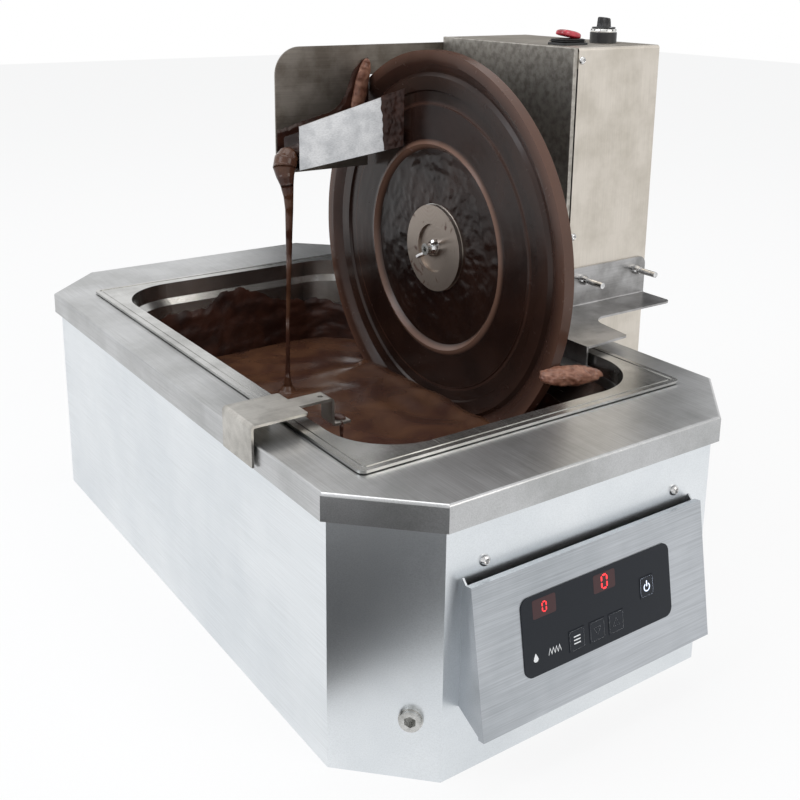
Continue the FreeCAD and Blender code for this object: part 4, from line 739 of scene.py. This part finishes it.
pool_z = 130.0                # level of the chocolate, in mm like all sizes below
pool_foot = 92                # underside of the pool's solid, above the pan's floor
film_foot = 122               # lower edge of the wall's film, hidden in the pool
wall_lean = 0.0612            # how far the pan's wall leans out per mm of height
washer_edge = 45.6            # radius
pan_x, pan_y = 2.0, -8.0
half_x, half_y, corner = 137.0, 239.5, 58.0


def wall_point(share, inset):
    """Point (x, y, outward x, outward y) of the pan's wall; share runs 0 to 1 round it from the back left."""
    hx, hy, r = half_x - inset, half_y - inset, corner
    runs = [2 * (hx - r), math.pi * r / 2, 2 * (hy - r), math.pi * r / 2] * 2
    along = share * sum(runs)
    x, y, angle = pan_x - hx + r, pan_y + hy, math.pi / 2
    for i, run in enumerate(runs):
        step = min(along, run)
        if i % 2 == 0:
            x += math.sin(angle) * step
            y -= math.cos(angle) * step
        else:
            cx, cy = x - r * math.cos(angle), y - r * math.sin(angle)
            angle -= step / r
            x, y = cx + r * math.cos(angle), cy + r * math.sin(angle)
        along -= step
        if along <= 0:
            break
    return x, y, math.cos(angle), math.sin(angle)


def pool_height(x, y):
    """Surface of the pool: slow swells, drawn ridges bent round the wheel and a swirl in front of it."""
    away = math.hypot(x - 96, (y + 12) * 0.8)
    ridge = math.sin(away / 7.5 + 1.6 * noise.noise(Vector((x / 60, y / 60, 0))))
    fade = math.exp(-max(0.0, away - 20) / 95)
    drawn = math.sin((y + 0.3 * x) / 9.0 + 2.2 * noise.noise(Vector((x / 45, y / 70, 5))))
    drawn *= math.exp(-((y - 120) / 80) ** 2)
    swell = noise.noise(Vector((x / 55, y / 55, 9)))
    contact = math.exp(-((x - 100) / 10) ** 2) * (1 if abs(y - axis_y) < 118 else 0)
    return pool_z + 1.3 * ridge * fade + 0.8 * drawn + 1.4 * swell + 3.0 * contact


bm = bmesh.new()
bmesh.ops.create_grid(bm, x_segments=110, y_segments=190, size=0.5)
grid_x, grid_y = 278, 483     # a little past the wall; the planes below trim it
for vert in bm.verts:
    vert.co = (vert.co.x * grid_x * MM + pan_x * MM, vert.co.y * grid_y * MM + pan_y * MM, pool_z * MM)
for i in range(48):
    x, y, nx, ny = wall_point(i / 48 + 0.004, 0.3)
    bmesh.ops.bisect_plane(bm, geom=bm.verts[:] + bm.edges[:] + bm.faces[:], plane_co=(x * MM, y * MM, 0),
                           plane_no=(nx, ny, 0), clear_outer=True)
for vert in bm.verts:
    vert.co.z = pool_height(vert.co.x / MM, vert.co.y / MM) * MM
rim = [edge for edge in bm.edges if edge.is_boundary]
low = bmesh.ops.extrude_edge_only(bm, edges=rim)["geom"]
for vert in of_kind(low, bmesh.types.BMVert):
    vert.co = ((vert.co.x - pan_x * MM) * 0.965 + pan_x * MM, (vert.co.y - pan_y * MM) * 0.98 + pan_y * MM,
               pool_foot * MM)
foot_edges = [edge for edge in of_kind(low, bmesh.types.BMEdge) if edge.is_boundary]
bmesh.ops.edgeloop_fill(bm, edges=foot_edges)
finish_piece("chocolate_pool", bm, pool_chocolate, "machine", 60)


def sheet(name, across, up, place, material, body, thickness, sharp=50):
    """Film over a wall: a grid laid by place(u, v), then given its thickness."""
    bm = bmesh.new()
    bmesh.ops.create_grid(bm, x_segments=across, y_segments=up, size=0.5)
    for vert in bm.verts:
        vert.co = Vector(place(vert.co.x + 0.5, vert.co.y + 0.5)) * MM
    bmesh.ops.remove_doubles(bm, verts=bm.verts, dist=1e-6)
    bmesh.ops.recalc_face_normals(bm, faces=bm.faces)
    bmesh.ops.solidify(bm, geom=bm.faces[:], thickness=thickness * MM)
    return finish_piece(name, bm, material, body, sharp)


tide = [(-150, 178), (-91, 187), (-67, 189), (-43, 188), (-33, 195), (-21, 203), (1, 205),
        (27, 196), (46, 185), (80, 179), (107, 177), (128, 168), (160, 160)]


def level_at(table, x):
    """Height at x in a table of (x, height), straight between its rows."""
    for (x0, z0), (x1, z1) in zip(table, table[1:]):
        if x0 <= x <= x1:
            return z0 + (z1 - z0) * (x - x0) / (x1 - x0)
    return table[0][1] if x < table[0][0] else table[-1][1]


def wall_film(u, v):
    """The film on the pan's wall: highest along the back, ragged at its edge, folded as it slid down."""
    x, y, nx, ny = wall_point(u, 0)
    back = max(0.0, min(1.0, (y - 130) / 70))
    edge = level_at(tide, x) * back + 168 * (1 - back)
    edge += 3.0 * noise.noise(Vector((x / 9, y / 9, 3))) + 1.5 * noise.noise(Vector((x / 3.5, y / 3.5, 8)))
    z = film_foot + (edge - film_foot) * v
    lean_out = (z - pool_z) * wall_lean
    fold = 1.2 + 0.9 * noise.fractal(Vector((x / 16, y / 16, z / 5)), 1.0, 2.0, 3)
    fold = fold + 0.5 * math.sin(z / 3.5 + 3 * noise.noise(Vector((x / 30, y / 30, 1))))
    proud = max(0.25, fold) * min(1.0, (1 - v) * 9) - 0.1
    return x + nx * (lean_out + 0.2 - proud), y + ny * (lean_out + 0.2 - proud), z


sheet("chocolate_wall_film", 520, 26, wall_film, film_chocolate, "machine", 0.4)

front = [(7.5, 45.8), (7.5, 100.5), (2.2, 105.8), (4.5, 111.0), (4.5, 144.8), (6.0, 145.6), (6.0, 158.0),
         (3.5, 159.5), (3.5, 173.0), (6.5, 176.5), (0.0, 187.5), (0.0, 198.0)]
back = [(10.5, 198.0), (10.5, 195.5), (2.9, 195.3), (2.9, 187.2), (9.0, 176.0), (6.0, 172.0),
        (8.5, 158.0), (7.0, 111.0), (10.0, 100.0), (10.0, 42.0)]
wheel_front = wheel_low.x / MM
path = []
for points, way in ((front, -1), (back, 1)):
    for (a0, r0), (a1, r1) in zip(points, points[1:]):
        count = max(1, round(math.hypot(a1 - a0, r1 - r0) / (2.4 if way < 0 else 8)))
        path += [(a0 + (a1 - a0) * i / count, r0 + (r1 - r0) * i / count, way) for i in range(count)]
    path.append((*points[-1], way))
bm = bmesh.new()
coat = [(a + way * 0.45, r + (0.35 if r > 186 and (way < 0 or a > 9) else 0)) for a, r, way in path]
turned(bm, coat, (wheel_front, axis_y, axis_z), (1, 0, 0), 288)
for vert in bm.verts:
    y, z = vert.co.y / MM - axis_y, vert.co.z / MM - axis_z
    reach, angle = math.hypot(y, z), math.atan2(z, y)
    if vert.co.x / MM - wheel_front > 8.2 or reach < washer_edge:
        continue
    if reach < 100:
        rough = noise.fractal(Vector((reach / 9, angle * 4.5, 0)), 0.9, 2.1, 4)
        proud = 1.0 * max(-0.35, rough) * min(1.0, (reach - 45) / 4) * min(1.0, (101 - reach) / 5)
    else:
        circle = Vector((0, math.cos(angle), math.sin(angle)))
        beads = noise.noise(Vector((reach / 3.0, 0, 0)) + circle * 3)
        waves = noise.noise(Vector((reach / 14, 0, 0)) + circle * 6)
        proud = 0.16 * beads + 0.18 * waves
    vert.co.x -= (proud + 0.1) * MM
finish_piece("chocolate_on_wheel", bm, wheel_chocolate, "wheel", 28)


def run_of(bm, stops, rings=14, flat=1.0):
    """Tapered closed run of chocolate through stops (x, y, z, radius), with soft ends."""
    points = [Vector(s[:3]) * MM for s in stops]
    loop = bmesh.ops.create_circle(bm, cap_ends=True, segments=rings, radius=1.0)["verts"]
    face = loop[0].link_faces[0]
    for i, (point, stop) in enumerate(zip(points, stops)):
        ahead = points[min(i + 1, len(points) - 1)] - points[max(i - 1, 0)]
        ahead.normalize()
        side = Vector((0, 1, 0.001)).cross(ahead).normalized()
        turn = Matrix((side, ahead.cross(side), ahead)).transposed()
        if i:
            face = of_kind(bmesh.ops.extrude_face_region(bm, geom=[face])["geom"], bmesh.types.BMFace)[0]
            loop = list(face.verts)
        count = len(loop)
        for k, vert in enumerate(loop):
            angle = math.tau * k / count
            vert.co = point + turn @ Vector((math.cos(angle), math.sin(angle) * flat, 0)) * stop[3] * MM


def soften(piece, levels=2):
    """Rounds a cage into the soft shape of thick chocolate."""
    smooth = piece.modifiers.new("soft", "SUBSURF")
    smooth.levels = smooth.render_levels = levels


bm = bmesh.new()
stream = [(2, 107, 382, 4), (0, 106.5, 380, 8), (-4, 105, 377.5, 11), (-9, 102.5, 373, 12.5),
          (-12.5, 99.5, 366.5, 12), (-13, 97, 359, 9.6), (-12.2, 95, 350, 7), (-11.5, 93.5, 338, 5.2),
          (-11.2, 93, 325, 4.3), (-11.8, 93, 300, 3.6), (-12.3, 93, 272, 2.9), (-13.4, 93, 240, 2.3),
          (-14.6, 93, 205, 2.1), (-15.4, 93, 165, 2.2), (-15.8, 93, 148, 2.8), (-15.9, 93, 138, 4.6),
          (-15.9, 93, 131.5, 9), (-15.9, 93, 128, 13), (-15.9, 93, 126, 5)]
run_of(bm, stream)
soften(finish_piece("chocolate_stream", bm, pool_chocolate, "machine", 180))


def trough(u, v):
    """Top of the chocolate that stands in the chute between its front and the plate."""
    x = -1 + 103.4 * u
    front_y = 92.9 - 33.0 * max(0.0, x) / 103
    fill = 384 + 18 * max(0.0, x) / 103 + 2.0 * noise.noise(Vector((x / 14, v * 3, 2)))
    edge = min(1.0, 8 * v) * min(1.0, 8 * (1 - v))
    return x, front_y + (121.2 - front_y) * v, fill - 2 * (1 - edge)


sheet("chocolate_in_chute", 44, 16, trough, film_chocolate, "machine", 3.0)
coat_top = [(-8, 401), (6, 403.5), (20, 408), (38, 412), (56, 416),
            (66, 422), (74, 432), (83, 456), (95, 468), (103, 471)]


def plate_coat(u, v):
    """Film on the plate behind the chute, with the edge that the wheel's rim leaves."""
    x = -7.6 + 110.2 * u
    high = level_at(coat_top, x) + 1.3 * noise.noise(Vector((x / 4, 0, 0)))
    z = 377 + (high - 377) * v
    proud = 0.9 + 0.9 * noise.fractal(Vector((x / 11, z / 11, 4)), 1.0, 2.0, 3)
    return x, 123.3 - max(0.25, proud) * min(1.0, 7 * (1 - v)), z


sheet("chocolate_on_plate", 70, 34, plate_coat, film_chocolate, "machine", 0.4)
bm = bmesh.new()
ridge = [(84, 119.5, 413, 4), (86, 119, 420, 7.5), (90, 119, 434, 8.5), (93, 119, 448, 8),
         (96.5, 119, 459, 7), (98.5, 119.5, 466, 5), (99.5, 120, 470, 2.5)]
run_of(bm, ridge, 14, 0.55)
soften(finish_piece("chocolate_ridge_at_wheel", bm, light_chocolate, "machine", 180))


def chute_coat(u, v):
    """Smear on the outside of the chute's end, next to the wheel."""
    along = 80 + 1.8 * noise.noise(Vector((v * 7, 3, 0))) + 3.5 * (1 - v)
    x = along + (102.8 - along) * u
    base = 364.3 + 21.0 * x / 103
    z = base + (44 + 14 * x / 103 + 0.8) * v
    proud = 0.7 + 1.2 * noise.fractal(Vector((x / 7, z / 7, 6)), 0.9, 2.0, 4)
    return x + 0.3, 90.5 - 33.0 * x / 103 - 0.1 - max(0.2, proud) * min(1.0, 8 * u), z


sheet("chocolate_on_chute_end", 26, 44, chute_coat, film_chocolate, "machine", 0.4)
lumps = [("chocolate_lump_on_bracket", (103, -202, 217), (27, 14, 8), light_chocolate, "machine", 7),
         ("chocolate_drip_on_clip", (-111, -163.5, 214), (5, 5, 2.4), film_chocolate, "clip", 3)]
for name, (x, y, z), (sx, sy, sz), material, body, grain in lumps:
    bm = bmesh.new()
    bmesh.ops.create_icosphere(bm, subdivisions=5, radius=1.0)
    for vert in bm.verts:
        spot = Vector((vert.co.x * sx, vert.co.y * sy, vert.co.z * sz))
        vert.co *= 1 + 0.16 * noise.fractal(spot / grain, 1.0, 2.0, 4)
        vert.co = (x * MM + vert.co.x * sx * MM, y * MM + vert.co.y * sy * MM - 0.3 * vert.co.x * sx * MM,
                   z * MM + vert.co.z * sz * MM)
    finish_piece(name, bm, material, body, 180)
bm = bmesh.new()
thread = [(-113, -171, 214, 1.2), (-113, -171, 210, 1.8), (-113, -171, 204, 1.5), (-113, -171, 198, 1.1),
          (-113, -171, 193, 0.4)]
run_of(bm, thread, 10)
soften(finish_piece("chocolate_thread_on_clip", bm, film_chocolate, "clip", 180))

size = {"cad": [list(cad_low), list(cad_high)], "visual": [list(c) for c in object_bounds()]}
